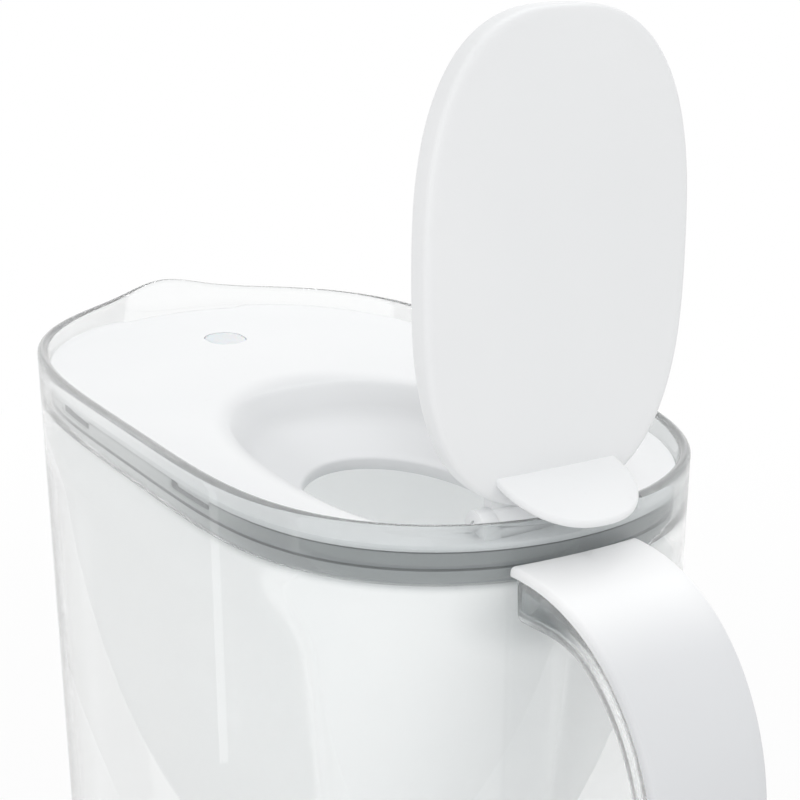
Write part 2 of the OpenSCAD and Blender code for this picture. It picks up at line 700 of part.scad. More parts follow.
module disc(r, z, h) translate([button_x, 0, z]) cylinder(r = r, h = h, $fn = 64);
flange_top = housing_top - 0.1;
stem_top = flange_top - button_flange;
board_z = stem_top - board_gap - board_t;
board_top = board_z + board_t;
cell_z = board_z - cell_room - cell_t;
housing_low = cell_z - door_deep;
plug_r = cell_d / 2 + cell_play - door_play;
groove_r = plug_r + 0.5;
module indicator_housing() {
    color("white") difference() {
        disc(housing_r, housing_low, housing_top - housing_low);
        disc(housing_r - housing_t, board_z, housing_top);
        disc(cell_d / 2 + cell_play, housing_low - 1, board_z);
    }
}
module on_board(x, size) translate([button_x + x - size[0] / 2, -size[1] / 2, board_top]) cube(size);
module indicator_board() color("seagreen") disc(housing_r - housing_t - board_play, board_z, board_t);
module indicator_led() color("ivory") on_board(led_x + led[0] / 2, led);
module indicator_switch() {
    tip = stem_top - stem_l - button_travel - press_play;
    color("dimgray") {
        on_board(switch_x, switch_base);
        disc(switch_tip_r, board_top, tip - board_top);
    }
}
module coin_cell() color("silver") disc(cell_d / 2, cell_z, cell_t);
module battery_contact() {
    color("gold") {
        translate([button_x - contact_len / 2, -contact_w / 2, cell_z + cell_t])
            cube([contact_len, contact_w, contact_t]);
        translate([button_x + contact_len / 2 - contact_t, -contact_w / 2, cell_z + cell_t])
            cube([contact_t, contact_w, cell_room]);
    }
}
module battery_door() {
    color("white") difference() {
        union() {
            disc(housing_r, housing_low - door_t, door_t);
            disc(plug_r, housing_low - door_t / 2, door_deep + door_t / 2);
        }
        difference() {
            disc(housing_r - seal_ring_in, housing_low - seal_ring_t, 2 * seal_ring_t);
            disc(groove_r, housing_low - 2 * seal_ring_t, 4 * seal_ring_t);
        }
        translate([button_x, 0, housing_low - door_t])
            cube([coin_slot[0], coin_slot[1], 2 * coin_slot[2]], center = true);
    }
}
module indicator_seal() {
    color("dimgray") difference() {
        disc(housing_r - seal_ring_in - seal_ring_gap, housing_low - seal_ring_t, seal_ring_t);
        disc(groove_r + seal_ring_gap, housing_low - 1, 2);
    }
}
module indicator_button() {
    color([0.93, 0.95, 0.95]) union() {
        button_outline(0, stem_top, lid_top - button_low - stem_top);
        button_outline(button_rim, stem_top, button_flange);
        disc(stem_r, stem_top - stem_l, stem_l + 0.2);
    }
}

// Flip lid ----------------------------------------------------------------------------------------

// Oval of the panel in its own frame: x runs away from the hinge, as negative values
function panel_ring(inset, z) = [
    for (i = [0:steps - 1])
        let (p = oval_pt(i * turn, panel_a - inset, panel_b - inset, panel_square))
            [p[0] - panel_far, p[1], z]
];
function crown(inset) = panel_crown * (1 - pow(1 - inset / panel_b, 2));
tab_rim = [for (t = [-90:10:90]) oval_pt(t, tab_len, tab_w / 2, tab_square)];
module flip_lid() {
    skin = face_off - panel_t;
    foot = face_off - panel_d;
    color("whitesmoke") translate([axis_x, 0, axis_z]) rotate([0, 90, 0]) union() {
        capped_loft(concat(
            [for (i = back_in) panel_ring(i, skin + crown(i))],
            [panel_ring(panel_t, skin - foot_edge[0][0]), panel_ring(panel_t, foot)],
            [for (q = foot_edge) panel_ring(q[0], foot + q[1])],
            [for (q = face_edge) panel_ring(q[0], face_off - q[1])],
            [for (i = concat([face_start], face_in)) panel_ring(i, face_off + crown(i))]
        ));
        translate([tab_root[0], 0, tab_root[1]]) rotate([0, tab_lean - 90, 0]) translate([0, 0, -tab_t])
            linear_extrude(height = tab_t)
                polygon(concat([[-tab_sink, -tab_w / 2]], tab_rim, [[-tab_sink, tab_w / 2]]));
        translate([-neck_l, -barrel_half, neck_set - barrel_r])
            cube([neck_l, 2 * barrel_half, barrel_r - neck_set]);
        rotate([90, 0, 0]) {
            translate([0, 0, -barrel_half]) cylinder(r = barrel_r, h = 2 * barrel_half, $fn = 64);
            translate([0, 0, -lug_y - lug_t + stub_play])
                cylinder(r = stub_r, h = 2 * (lug_y + lug_t - stub_play), $fn = 64);
        }
    }
}

jug_body();
handle_channel();
handle_cover();
hopper();
cartridge_shell();
cartridge_cap();
inlet_screen();
filter_media();
outlet_screen();
cartridge_seal();
lid();
indicator_housing();
indicator_board();
indicator_led();
indicator_switch();
coin_cell();
battery_contact();
indicator_seal();
battery_door();
indicator_button();
flip_lid();
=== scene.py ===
from math import cos, degrees, exp, radians, sin, tau

import bmesh
import bpy
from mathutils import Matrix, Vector


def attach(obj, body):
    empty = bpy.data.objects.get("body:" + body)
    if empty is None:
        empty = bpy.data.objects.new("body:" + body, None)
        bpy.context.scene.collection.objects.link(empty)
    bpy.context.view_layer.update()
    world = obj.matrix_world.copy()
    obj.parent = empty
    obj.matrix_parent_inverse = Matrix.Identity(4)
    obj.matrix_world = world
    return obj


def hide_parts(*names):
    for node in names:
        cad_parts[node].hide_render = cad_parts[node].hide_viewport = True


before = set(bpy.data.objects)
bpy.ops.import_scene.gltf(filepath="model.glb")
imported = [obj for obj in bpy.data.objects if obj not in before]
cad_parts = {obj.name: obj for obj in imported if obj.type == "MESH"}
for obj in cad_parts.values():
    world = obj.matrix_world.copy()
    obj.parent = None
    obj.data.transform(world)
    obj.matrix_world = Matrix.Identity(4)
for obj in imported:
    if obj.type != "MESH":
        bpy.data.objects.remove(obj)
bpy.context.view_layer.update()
print("frame loaded")

mm = 0.001
ringCount = 168        # points round the big outlines
print("shaping tools")


def activate(obj):
    bpy.ops.object.select_all(action="DESELECT")
    obj.select_set(True)
    bpy.context.view_layer.objects.active = obj


# Names what was just added and applies its place and turn
def settle(name):
    obj = bpy.context.object
    obj.name = obj.data.name = name
    bpy.ops.object.transform_apply()
    return obj


# A circle laid on the first outline, which pullRing draws out to the next ones
def startRing(name, points):
    bpy.ops.mesh.primitive_circle_add(vertices=len(points), radius=0.01)
    obj = settle(name)
    spot = obj.data.attributes.new("spot", "INT", "POINT")
    for i, v in enumerate(obj.data.vertices):
        v.co = Vector(points[i]) * mm
        spot.data[i].value = i
    bpy.ops.object.mode_set(mode="EDIT")
    bpy.ops.mesh.select_mode(type="EDGE")
    bpy.ops.mesh.select_all(action="SELECT")
    return obj


def pullRing(points):
    bpy.ops.mesh.extrude_edges_move(TRANSFORM_OT_translate={"value": (0, 0, 0)})
    mesh = bmesh.from_edit_mesh(bpy.context.object.data)
    spot = mesh.verts.layers.int["spot"]
    for v in mesh.verts:
        if v.select:
            v.co = Vector(points[v[spot]]) * mm
    bmesh.update_edit_mesh(bpy.context.object.data)


def leaveEdit(merge, slivers=False):
    bpy.ops.mesh.select_all(action="SELECT")
    bpy.ops.mesh.remove_doubles(threshold=merge)
    if slivers:
        bpy.ops.mesh.dissolve_degenerate(threshold=merge)
    bpy.ops.mesh.normals_make_consistent()
    bpy.ops.object.mode_set(mode="OBJECT")


def endRings(obj):
    leaveEdit(0.00001)
    obj.data.attributes.remove(obj.data.attributes["spot"])
    return obj


# Closed on itself, as a wall that comes back down on its inner side
def loopShape(name, outlines):
    obj = startRing(name, outlines[0])
    for points in outlines[1:] + outlines[:1]:
        pullRing(points)
    return endRings(obj)


# Closed by a face at each end
def cappedShape(name, outlines):
    obj = startRing(name, outlines[0])
    bpy.ops.mesh.edge_face_add()
    bpy.ops.mesh.select_all(action="DESELECT")
    mesh = bmesh.from_edit_mesh(obj.data)
    for e in mesh.edges:
        e.select_set(True)
    bmesh.update_edit_mesh(obj.data)
    for points in outlines[1:]:
        pullRing(points)
    bpy.ops.mesh.edge_face_add()
    return endRings(obj)


def applyAll(obj):
    activate(obj)
    for m in list(obj.modifiers):
        bpy.ops.object.modifier_apply(modifier=m.name)
    return obj


def combine(obj, other, how):
    m = obj.modifiers.new("Boolean", "BOOLEAN")
    m.operation, m.solver, m.object = how, "EXACT", other
    applyAll(obj)
    bpy.data.objects.remove(other)


def cut(obj, other):
    combine(obj, other, "DIFFERENCE")


def join(obj, other):
    combine(obj, other, "UNION")


def smooth(obj, shade=35):
    activate(obj)
    bpy.ops.object.shade_smooth_by_angle(angle=radians(shade))
    return obj


def softEdges(obj, width, segments=2, angle=40):
    m = obj.modifiers.new("Bevel", "BEVEL")
    m.width, m.segments, m.limit_method = width * mm, segments, "ANGLE"
    m.angle_limit = radians(angle)
    return smooth(applyAll(obj))


# Takes out the slivers a boolean can leave
def tidyMesh(obj):
    activate(obj)
    bpy.ops.object.mode_set(mode="EDIT")
    leaveEdit(0.000002, True)
    return obj


def addCylinder(name, x, y, z, r, depth, axis="Z", count=64):
    turn = radians(90 if axis == "Y" else 0)
    bpy.ops.mesh.primitive_cylinder_add(vertices=count, radius=r * mm, depth=depth * mm,
                                        location=(x * mm, y * mm, z * mm), rotation=(turn, 0, 0))
    return settle(name)


def addBox(name, low, high):
    centre = [(a + b) / 2 * mm for a, b in zip(low, high)]
    bpy.ops.mesh.primitive_cube_add(size=1, location=centre, scale=[(b - a) * mm for a, b in zip(low, high)])
    return settle(name)


def handOver(piece, body, slot, *nodes):
    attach(piece, body)
    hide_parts(*nodes)


# Outlines, whose points crowd towards the spout
crowd = 0.4
turns = [tau * i / ringCount for i in range(ringCount)]
angles = [t + crowd * sin(t) for t in turns]


def ease(u):
    u = min(max(u, 0), 1)
    return u * u * (3 - 2 * u)


def side(v):
    return (v > 0.0005) - (v < -0.0005)


def oval(t, a, b, n=2):
    c, s = cos(t), sin(t)
    return (a * side(c) * abs(c) ** (2 / n), b * side(s) * abs(s) ** (2 / n))


def stadium(t, straight, r):
    return (r * cos(t) + straight * side(cos(t)), r * sin(t))


def shift(points, x, z):
    return [(x + p[0], p[1], z) for p in points]


# One outline at steps of offset and height over the base
def stack(outline, base, *steps):
    return [outline(offset, base + up, *more) for offset, up, *more in steps]


# Jug: the clear body and its handle channel, moulded in one
jugSizes = {
    "length": 208.5, "width": 116.8, "height": 250, "wall": 2.4, "taper": 0.035,
    "sideFlat": 0.115, "endFull": 0.03, "blunt": 0.085, "egg": 0.056,
    "lipRise": 3, "lipOut": 6, "lipDepth": 42, "lipSpread": 15, "peakSpread": 8, "peakDepth": 25,
    "baseRadius": 14, "floor": 4, "ledgeDrop": 13.2, "ledge": 1.4, "rimRound": 1.15,
    "pourHalf": 11.6, "pourRamp": 2.2, "pourDepth": 3, "pourDrop": 0.4,
    "wallSteps": (30, 60, 95, 130, 160, 185, 200, 208),
}
halfLength, halfWidth = jugSizes["length"] / 2, jugSizes["width"] / 2
rimZ, wall = jugSizes["height"], jugSizes["wall"]
ledgeZ = rimZ - jugSizes["ledgeDrop"]


def planX(t, a):
    s = jugSizes
    ends = (cos(t) + s["endFull"] * cos(3 * t)) / (1 + s["endFull"])
    return a * (ends + s["blunt"] * (1 - cos(2 * t)) / 2)


def planY(t, b):
    s = jugSizes
    flanks = b * (sin(t) + s["sideFlat"] * sin(3 * t)) / (1 - s["sideFlat"])
    return flanks * (1 - s["egg"] * cos(t))


def offSpout(t):
    return abs(degrees(t) - 180)


def taper(z):
    return 1 - jugSizes["taper"] * (1 - z / rimZ)


def jugPoint(t, inset, z):
    s = jugSizes
    out = s["lipOut"] * exp(-(offSpout(t) / s["lipSpread"]) ** 2) * ease(1 - (rimZ - z) / s["lipDepth"])
    return (planX(t, halfLength * taper(z) - inset) - out, planY(t, halfWidth * taper(z) - inset), z)


def jugRing(inset, z):
    return [jugPoint(t, inset, z) for t in angles]


def rimRing(inset, z):
    s = jugSizes
    points = []
    for t in angles:
        x, y, low = jugPoint(t, inset, z)
        peak = exp(-(offSpout(t) / s["peakSpread"]) ** 2)
        points.append((x, y, low + s["lipRise"] * peak * ease((z - rimZ + s["peakDepth"]) / s["peakDepth"])))
    return points


# 1 in the pour channel and 0 outside it, with a short ramp at each end
def pourShare(t):
    return 1 - ease((offSpout(t) - jugSizes["pourHalf"]) / jugSizes["pourRamp"])


def ledgeRing(inset, z):
    s = jugSizes
    return [jugPoint(t, inset - s["ledge"] * pourShare(t), z - s["pourDrop"] * pourShare(t)) for t in angles]


# The outline that hopper and lid share, drawn in at the pour channel
def nestRing(inset, z):
    points = []
    for t in angles:
        s = inset + jugSizes["pourDepth"] * pourShare(t)
        points.append((planX(t, halfLength * taper(z) - s), planY(t, halfWidth * taper(z) - s), z))
    return points


def jugOutside():
    s = jugSizes
    r = s["baseRadius"]
    rings = []
    for d in range(0, 90, 9):
        a = radians(d)
        rings.append(jugRing(r * (1 - sin(a)), r * (1 - cos(a))))
    rings += [jugRing(0, z) for z in (r, *s["wallSteps"])]
    rings += [rimRing(0, rimZ - d) for d in (38, 34, 30, 26, 22, 18, 14, 10, 7, 4.5, 2.6)]
    return rings


def makeJug():
    s = jugSizes
    r, shelf = s["rimRound"], wall + s["ledge"]
    rings = jugOutside()
    for k in range(0, 13):
        a = radians(15 * k)
        rings.append(rimRing(wall / 2 - (wall / 2) * cos(a), rimZ - r + r * sin(a)))
    rings += [rimRing(wall, rimZ - d) for d in (2.6, 4.5, 7, 10)]
    rings.append(jugRing(wall, ledgeZ + 0.5))
    rings += stack(ledgeRing, ledgeZ, (wall + 0.12, 0.1), (wall + 0.35, 0), (shelf - 0.3, 0), (shelf, -0.3),
                   (shelf, -3), (wall + s["ledge"] * 0.7, -5.5), (wall + s["ledge"] * 0.25, -8.5))
    rings += [jugRing(wall, z) for z in (ledgeZ - 12, 220, 215, *reversed(s["wallSteps"]))]
    inner = s["baseRadius"] - wall + 0.4
    for d in range(90, -1, -9):
        a = radians(d)
        rings.append(jugRing(wall + inner * (1 - sin(a)), s["floor"] + inner * (1 - cos(a))))
    # one more ring on each side of the floor, so that the flat faces stay flat
    rings.insert(0, jugRing(s["baseRadius"] + 3, 0))
    rings.append(jugRing(wall + inner + 3, s["floor"]))
    return smooth(cappedShape("clearJug", rings), 50)


def bezier(c, u):
    w = ((1 - u) ** 3, 3 * (1 - u) ** 2 * u, 3 * (1 - u) * u * u, u ** 3)
    return Vector([sum(k * p[i] for k, p in zip(w, c)) for i in (0, 1)])


def bezierWay(c, u):
    w = ((1 - u) ** 2, 2 * (1 - u) * u, u * u)
    d = Vector([sum(k * (q[i] - p[i]) for k, p, q in zip(w, c, c[1:])) for i in (0, 1)])
    return d.normalized()


handleSizes = {
    "width": 31, "gripWidth": 25.5, "out": 44.5, "low": 84, "drop": 9, "cover": 2.4, "depth": 7.2, "wall": 2,
    "reach": 0.63, "rise": 3.5, "fall": 20.6, "down": 44.6, "topRoot": 4, "lowRoot": 8,
    "backPulls": ((0, 66), (4, 34)), "heel": (18, 16), "sole": (27.8, 3.4), "stepsPerArc": 24,
    "flare": 2.8, "flareLength": 26, "flareDown": 60, "corner": 3.2, "innerCorner": 1.4, "edge": 0.35,
    "lowerIn": 1.8, "channelFrom": 102.2, "coverFrom": 99, "wallPlay": 1.0012,
}


# Points, directions and width shares along the handle, from the top down
def handleLine():
    s = handleSizes
    x, top, low = halfLength, rimZ - s["drop"], s["low"]
    far = x + s["out"]
    back = (far, top - s["down"])
    heel, sole = [(far - s[k][0], low + s[k][1]) for k in ("heel", "sole")]
    arcs = (
        ((x - s["topRoot"], top), (x + s["out"] * s["reach"], top + s["rise"]), (far, top - s["fall"]), back),
        (back, *[(far - a, low + b) for a, b in s["backPulls"]], heel),
        (heel, sole, (x + s["topRoot"], low), (x - s["lowRoot"], low)),
    )
    grip = s["gripWidth"] / s["width"]
    line = []
    for k, c in enumerate(arcs):
        for i in range(s["stepsPerArc"] + (k == 2)):
            u = i / s["stepsPerArc"]
            narrow = grip + (1 - grip) * (1 - u, 0, u)[k]
            line.append((bezier(c, u), bezierWay(c, u), narrow))
    return line


# Carries (across, outwards) points along the handle, deeper at its upper root by flare
def sweepHandle(name, section, insideX, flare=0):
    s = handleSizes
    rings = []
    for p, d, narrow in handleLine():
        if p[0] < insideX - (s["lowerIn"] if p[1] < rimZ / 2 else 0):
            continue
        upper = p[1] > rimZ - s["flareDown"]
        deeper = flare * (1 - ease((p[0] - halfLength) / s["flareLength"])) if upper else 0
        ring = []
        for across, out in section:
            out -= deeper if out < -s["cover"] - s["wall"] else 0
            ring.append((p[0] - d[1] * out, across * narrow, p[1] + d[0] * out))
        rings.append(ring)
    return cappedShape(name, rings)


def arcPoints(cx, cy, r, start, end, count):
    span = [radians(start + (end - start) * i / count) for i in range(count + 1)]
    return [(cx + r * cos(a), cy + r * sin(a)) for a in span]


def mirrored(half):
    return half + [(-x, y) for x, y in reversed(half) if x > 0]


def makeChannel():
    s = handleSizes
    o = s["width"] / 2 - 0.3
    i = o - s["wall"]
    r, q, e = s["corner"], s["innerCorner"], s["edge"]
    top = -s["cover"] - 0.02
    deep = top - s["depth"]
    floor = deep + s["wall"]
    half = arcPoints(o - r, deep + r, r, 270, 360, 6) + arcPoints(o - e, top - e, e, 0, 90, 2)
    half += arcPoints(i + e, top - e, e, 90, 180, 2) + arcPoints(i - q, floor + q, q, 0, -90, 4)
    return smooth(sweepHandle("handleChannel", mirrored(half), s["channelFrom"], s["flare"]), 40)


# Plugged into the channel, slightly crowned on top, with its roots cut to the jug's wall
def makeCover():
    s = handleSizes
    o = s["width"] / 2
    i = o - 0.5 - s["wall"] - 0.3
    base, low, bend = -s["cover"], -s["cover"] - 1.2, 1.1
    half = [(0, low), (i - 0.3, low), (i, low + 0.3), (i, base), (o - 0.25, base), (o, base + 0.25)]
    half += arcPoints(o - bend, -1.25, bend, 0, 80, 5)
    half += [(x, -0.15 + 0.34 * (1 - (x / (o - 0.9)) ** 2)) for x in (12, 9, 6, 3, 0)]
    cover = sweepHandle("handleCover", mirrored(half), s["coverFrom"])
    play = s["wallPlay"]
    cut(cover, cappedShape("wall", [[(x * play, y * play, z) for x, y, z in r] for r in jugOutside()]))
    return softEdges(cover, 0.3, 2, 50)


print("jug and handle")
clearJug = makeJug()
join(clearJug, makeChannel())
smooth(clearJug, 40)
handleCover = makeCover()
handOver(clearJug, "jug", "clear_plastic", "jug_body", "handle_channel")
handOver(handleCover, "jug", "white_gloss", "handle_cover")

# Hopper: frosted funnel hung on the jug's ledge
hopperSizes = {
    "wall": 1.8, "gap": 0.35, "collar": 7.1, "step": 0.4, "stepHeight": 3.3, "depth": 121.8,
    "seatX": 16, "cartLength": 62, "cartWidth": 50, "sleeveWall": 2.2, "sleeve": 17, "rise": 2,
    "slotLength": 17, "slotHeight": 2.2, "slotsAt": (-26, 38),
}
collarIn = wall + hopperSizes["gap"]
funnelIn = wall + jugSizes["ledge"] + hopperSizes["gap"]
collarTop = ledgeZ + hopperSizes["collar"]
seatZ = ledgeZ - hopperSizes["depth"]
seatGap = hopperSizes["gap"] + 0.05


# Outline at share u of the way down, from the jug's shape to the cartridge's oval
def hopperRing(u, grow, z):
    s = hopperSizes
    topA, topB = halfLength * taper(ledgeZ) - funnelIn, halfWidth * taper(ledgeZ) - funnelIn
    seatA, seatB = s["cartLength"] / 2 + s["sleeveWall"] + 2.8, s["cartWidth"] / 2 + s["sleeveWall"] + 1.8
    front = -topA + (topA + s["seatX"] - seatA) * u ** 2.8
    back = topA - (topA - s["seatX"] - seatA) * u ** 1.8
    b = topB - (topB - seatB) * u ** 2.6 + grow
    a, c, w = (back - front) / 2 + grow, (back + front) / 2, ease(u)
    slim = 1 - jugSizes["taper"] * s["depth"] * u / rimZ * (1 - u)
    points = []
    for t in angles:
        g = jugSizes["pourDepth"] * pourShare(t) * ease(1 - 8 * u)
        q = stadium(t, a - b, b)
        x, y = planX(t, a - g), planY(t, b - g)
        points.append((c + (x * (1 - w) + q[0] * w) * slim, (y * (1 - w) + q[1] * w) * slim, z))
    return points


def hopperZ(u):
    return ledgeZ - 0.8 - (hopperSizes["depth"] - 2.8) * u


def sleeveRing(grow, z):
    s = hopperSizes
    half, r = (s["cartLength"] - s["cartWidth"]) / 2, s["cartWidth"] / 2 + grow
    return shift([stadium(t, half, r) for t in angles], s["seatX"], z)


def makeHopper():
    s = hopperSizes
    down = (1, 0.985, 0.965, 0.94, 0.9, 0.85, 0.79, 0.72, 0.64, 0.55, 0.45, 0.35, 0.26, 0.18, 0.12, 0.08,
            0.05, 0.025, 0)
    step = s["stepHeight"] + ledgeZ
    sleeveOut = seatGap + s["sleeveWall"]
    upper, inside = collarIn + s["step"], collarIn + s["wall"]
    foot, root = seatZ - s["sleeve"], seatZ - s["rise"]
    # up the outside
    rings = stack(sleeveRing, foot, (sleeveOut - 0.4, 0), (sleeveOut, 0.4), (sleeveOut, 8))
    rings += stack(sleeveRing, root, (sleeveOut, -1.2), (sleeveOut + 0.4, -0.3))
    rings.append(hopperRing(1, -0.9, root))
    rings += [hopperRing(u, 0, hopperZ(u)) for u in down]
    rings += [hopperRing(0, 0, ledgeZ - 0.25), hopperRing(0, 0.25, ledgeZ)]
    rings += stack(nestRing, ledgeZ, (collarIn + 0.2, 0), (collarIn, 0.2))
    rings += stack(nestRing, step, (collarIn, -0.15), (collarIn + 0.1, 0), (upper, 0.1))
    rings += stack(nestRing, collarTop, (upper, -0.3), (upper + 0.3, 0), (inside - 0.2, 0), (inside, -0.2))
    # and down the inside
    rings.append(nestRing(inside, ledgeZ + 1.4))
    rings += [hopperRing(u, -s["wall"], hopperZ(u) + 0.9 * (1 + u)) for u in reversed(down[1:])]
    rings.append(hopperRing(1, -s["wall"], seatZ))
    rings += stack(sleeveRing, seatZ, (seatGap + 0.5, 0), (seatGap, -0.5))
    rings += stack(sleeveRing, foot, (seatGap, 8), (seatGap, 0.3), (seatGap + 0.3, 0))
    hopper = smooth(loopShape("hopperFunnel", rings), 50)
    half, low = s["slotLength"] / 2, collarTop - s["slotHeight"]
    for x in s["slotsAt"]:
        for y in (-halfWidth, halfWidth):
            slot = addBox("slot", (x - half, y - 10, low), (x + half, y + 10, low + 6))
            cut(hopper, softEdges(slot, 0.5, 3))
    return smooth(hopper, 45)


print("hopper")
hopper = makeHopper()
handOver(hopper, "hopper", "frosted_plastic", "hopper")

# Lid: white top with the filling recess and the hinge lugs
lidSizes = {
    "thick": 2, "edge": 1.4, "recessA": 58, "recessB": 34.5, "recessX": 38, "square": 2.5,
    "depth": 15.8, "holeA": 34, "holeB": 21.5, "holeX": 36, "skirt": 1.5, "skirtHeight": 5.4,
    "lug": 3.6, "lugThick": 3.6, "stub": 1.5, "play": 0.06, "relief": 3.8, "tabWidth": 29,
    "buttonX": -64.75, "buttonLength": 13, "buttonWidth": 10.5, "windowPlay": 0.3,
}
lidTop = collarTop + lidSizes["edge"]
hingeX, hingeZ = halfLength - 10.75, rimZ - 3.5
barrelHalf = lidSizes["tabWidth"] / 2 - 0.1
lugY = barrelHalf + 0.3


# The lid's top, at share w of the way from its edge to the recess
def lidRing(w, z):
    s = lidSizes
    points = []
    for t, e in zip(angles, nestRing(collarIn + 3, lidTop)):
        d = oval(t, s["recessA"], s["recessB"], s["square"])
        points.append((e[0] + (s["recessX"] + d[0] - e[0]) * w, e[1] + (d[1] - e[1]) * w, z))
    return points


def recessRing(inset, z):
    s = lidSizes
    a, b = s["recessA"] - inset, s["recessB"] - inset * 0.8
    return shift([oval(t, a, b, s["square"]) for t in angles], s["recessX"], z)


def holeRing(grow, z):
    s = lidSizes
    return shift([oval(t, s["holeA"] + grow, s["holeB"] + grow) for t in angles], s["holeX"], z)


def between(a, b, w, z):
    return [(p[0] + (q[0] - p[0]) * w, p[1] + (q[1] - p[1]) * w, z) for p, q in zip(a, b)]


# Stadium outlines at (length, width, height) steps
def stackRings(x, steps, count=64):
    rings = []
    for length, width, z in steps:
        half = (length - width) / 2
        ring = [stadium(tau * (i + 0.5) / count, half, width / 2) for i in range(count)]
        rings.append(shift(ring, x, z))
    return rings


def addStadium(name, x, length, width, low, high, count=64):
    return cappedShape(name, stackRings(x, [(length, width, z) for z in (low, high)], count))


def makeLid():
    s = lidSizes
    under, dishTop, dishFloor = lidTop - s["thick"], lidTop - 2.1, lidTop - s["depth"]
    # down from the edge into the recess and its hole
    rings = stack(nestRing, lidTop, (collarIn, -0.35), (collarIn + 0.12, -0.1), (collarIn + 0.4, 0))
    rings += stack(lidRing, lidTop, (0, 0), (0.3, 0), (0.6, -0.03), (0.8, -0.5), (0.92, -1.15))
    rings += stack(recessRing, dishTop, (0, 0.25), (0.8, -0.25), (1.6, -1), (2.4, -1.9), (3.5, -2.9),
                   (4.9, -4.8), (6.5, -6.6), (8.5, -8.1), (11, -9.3))
    low, lip, fall = recessRing(11, 0), holeRing(1.6, 0), dishTop - 9.3 - dishFloor - 0.45
    rings += [between(low, lip, w, dishTop - 9.3 - w * fall) for w in (0.3, 0.6, 0.85, 1)]
    rings += stack(holeRing, dishFloor, (0.8, 0.2), (0.25, -0.1), (0, -0.5), (0, -2.6), (0.2, -3), (1.4, -3),
                   (1.6, -2.8), (2.1, -1.9), (3.4, -1.4))
    # back up the underside and round the skirt
    lip, high, climb = holeRing(3.4, 0), recessRing(9, 0), dishTop - 10.6 - dishFloor + 1.4
    rings += [between(lip, high, w, dishFloor - 1.4 + w * climb) for w in (0.4, 0.8, 1)]
    rings += stack(recessRing, dishTop, (6.6, -9.6), (4.6, -7.8), (2.8, -5.8), (1.5, -4.2), (0.3, -2.6),
                   (-0.4, -1.9))
    rings += stack(lidRing, under, (0.75, -0.1), (0.6, 0))
    inset = collarIn + hopperSizes["wall"] + hopperSizes["gap"]
    skirt = inset + s["skirt"]
    rings += stack(nestRing, under, (skirt + 0.3, 0), (skirt, -0.3))
    rings += stack(nestRing, collarTop - s["skirtHeight"], (skirt, 0.3), (skirt - 0.3, 0), (inset + 0.4, 0),
                   (inset, 0.6))
    rings += stack(nestRing, collarTop, (inset, -0.1), (inset - 0.1, 0), (collarIn + 0.15, 0),
                   (collarIn, 0.15))
    lid = smooth(loopShape("lidPlate", rings), 60)
    for y in (-1, 1):
        middle = y * (lugY + s["lugThick"] / 2)
        lug = addCylinder("lug", hingeX, middle, hingeZ, s["lug"], s["lugThick"], "Y")
        foot = addBox("lugFoot", (hingeX - s["lug"], middle - s["lugThick"] / 2, lidTop - 1.2),
                      (hingeX + s["lug"], middle + s["lugThick"] / 2, hingeZ))
        join(lug, foot)
        join(lid, softEdges(lug, 0.35, 3))
    through = 2 * (lugY + s["lugThick"]) + 2
    cut(lid, addCylinder("bore", hingeX, 0, hingeZ, s["stub"] + s["play"], through, "Y"))
    cut(lid, addCylinder("relief", hingeX, 0, hingeZ, s["relief"], 2 * lugY - 0.2, "Y"))
    length, width = s["buttonLength"] + s["windowPlay"], s["buttonWidth"] + s["windowPlay"]
    cut(lid, addStadium("window", s["buttonX"], length, width, lidTop - 6, lidTop + 4))
    return smooth(tidyMesh(lid))


print("lid")
lid = makeLid()
handOver(lid, "lid", "white_gloss", "lid")

# Flip lid: oval panel with its thumb tab, standing open
flipSizes = {
    "a": 49.2, "b": 30.8, "far": 51.6, "depth": 5.5, "skin": 1.8, "square": 2.64, "face": 1.5, "crown": 0.8,
    "tab": 18, "tabRoot": -8.4, "tabWidth": 29, "tabThick": 1.8, "tabLean": 16.7, "tabSquare": 2.3,
    "tabTuck": 1.2, "barrel": 3.2, "neck": 9, "stub": 1.5, "stubShort": 0.4,
}


# From the panel's own lying frame to where it stands open
def standUp(points):
    return [(hingeX + z, y, hingeZ - x) for x, y, z in points]


def panelRing(inset, z):
    s = flipSizes
    ring = [oval(t, s["a"] - inset, s["b"] - inset, s["square"]) for t in angles]
    return standUp(shift(ring, -s["far"], z))


def crown(inset):
    return flipSizes["crown"] * (1 - (1 - inset / flipSizes["b"]) ** 2)


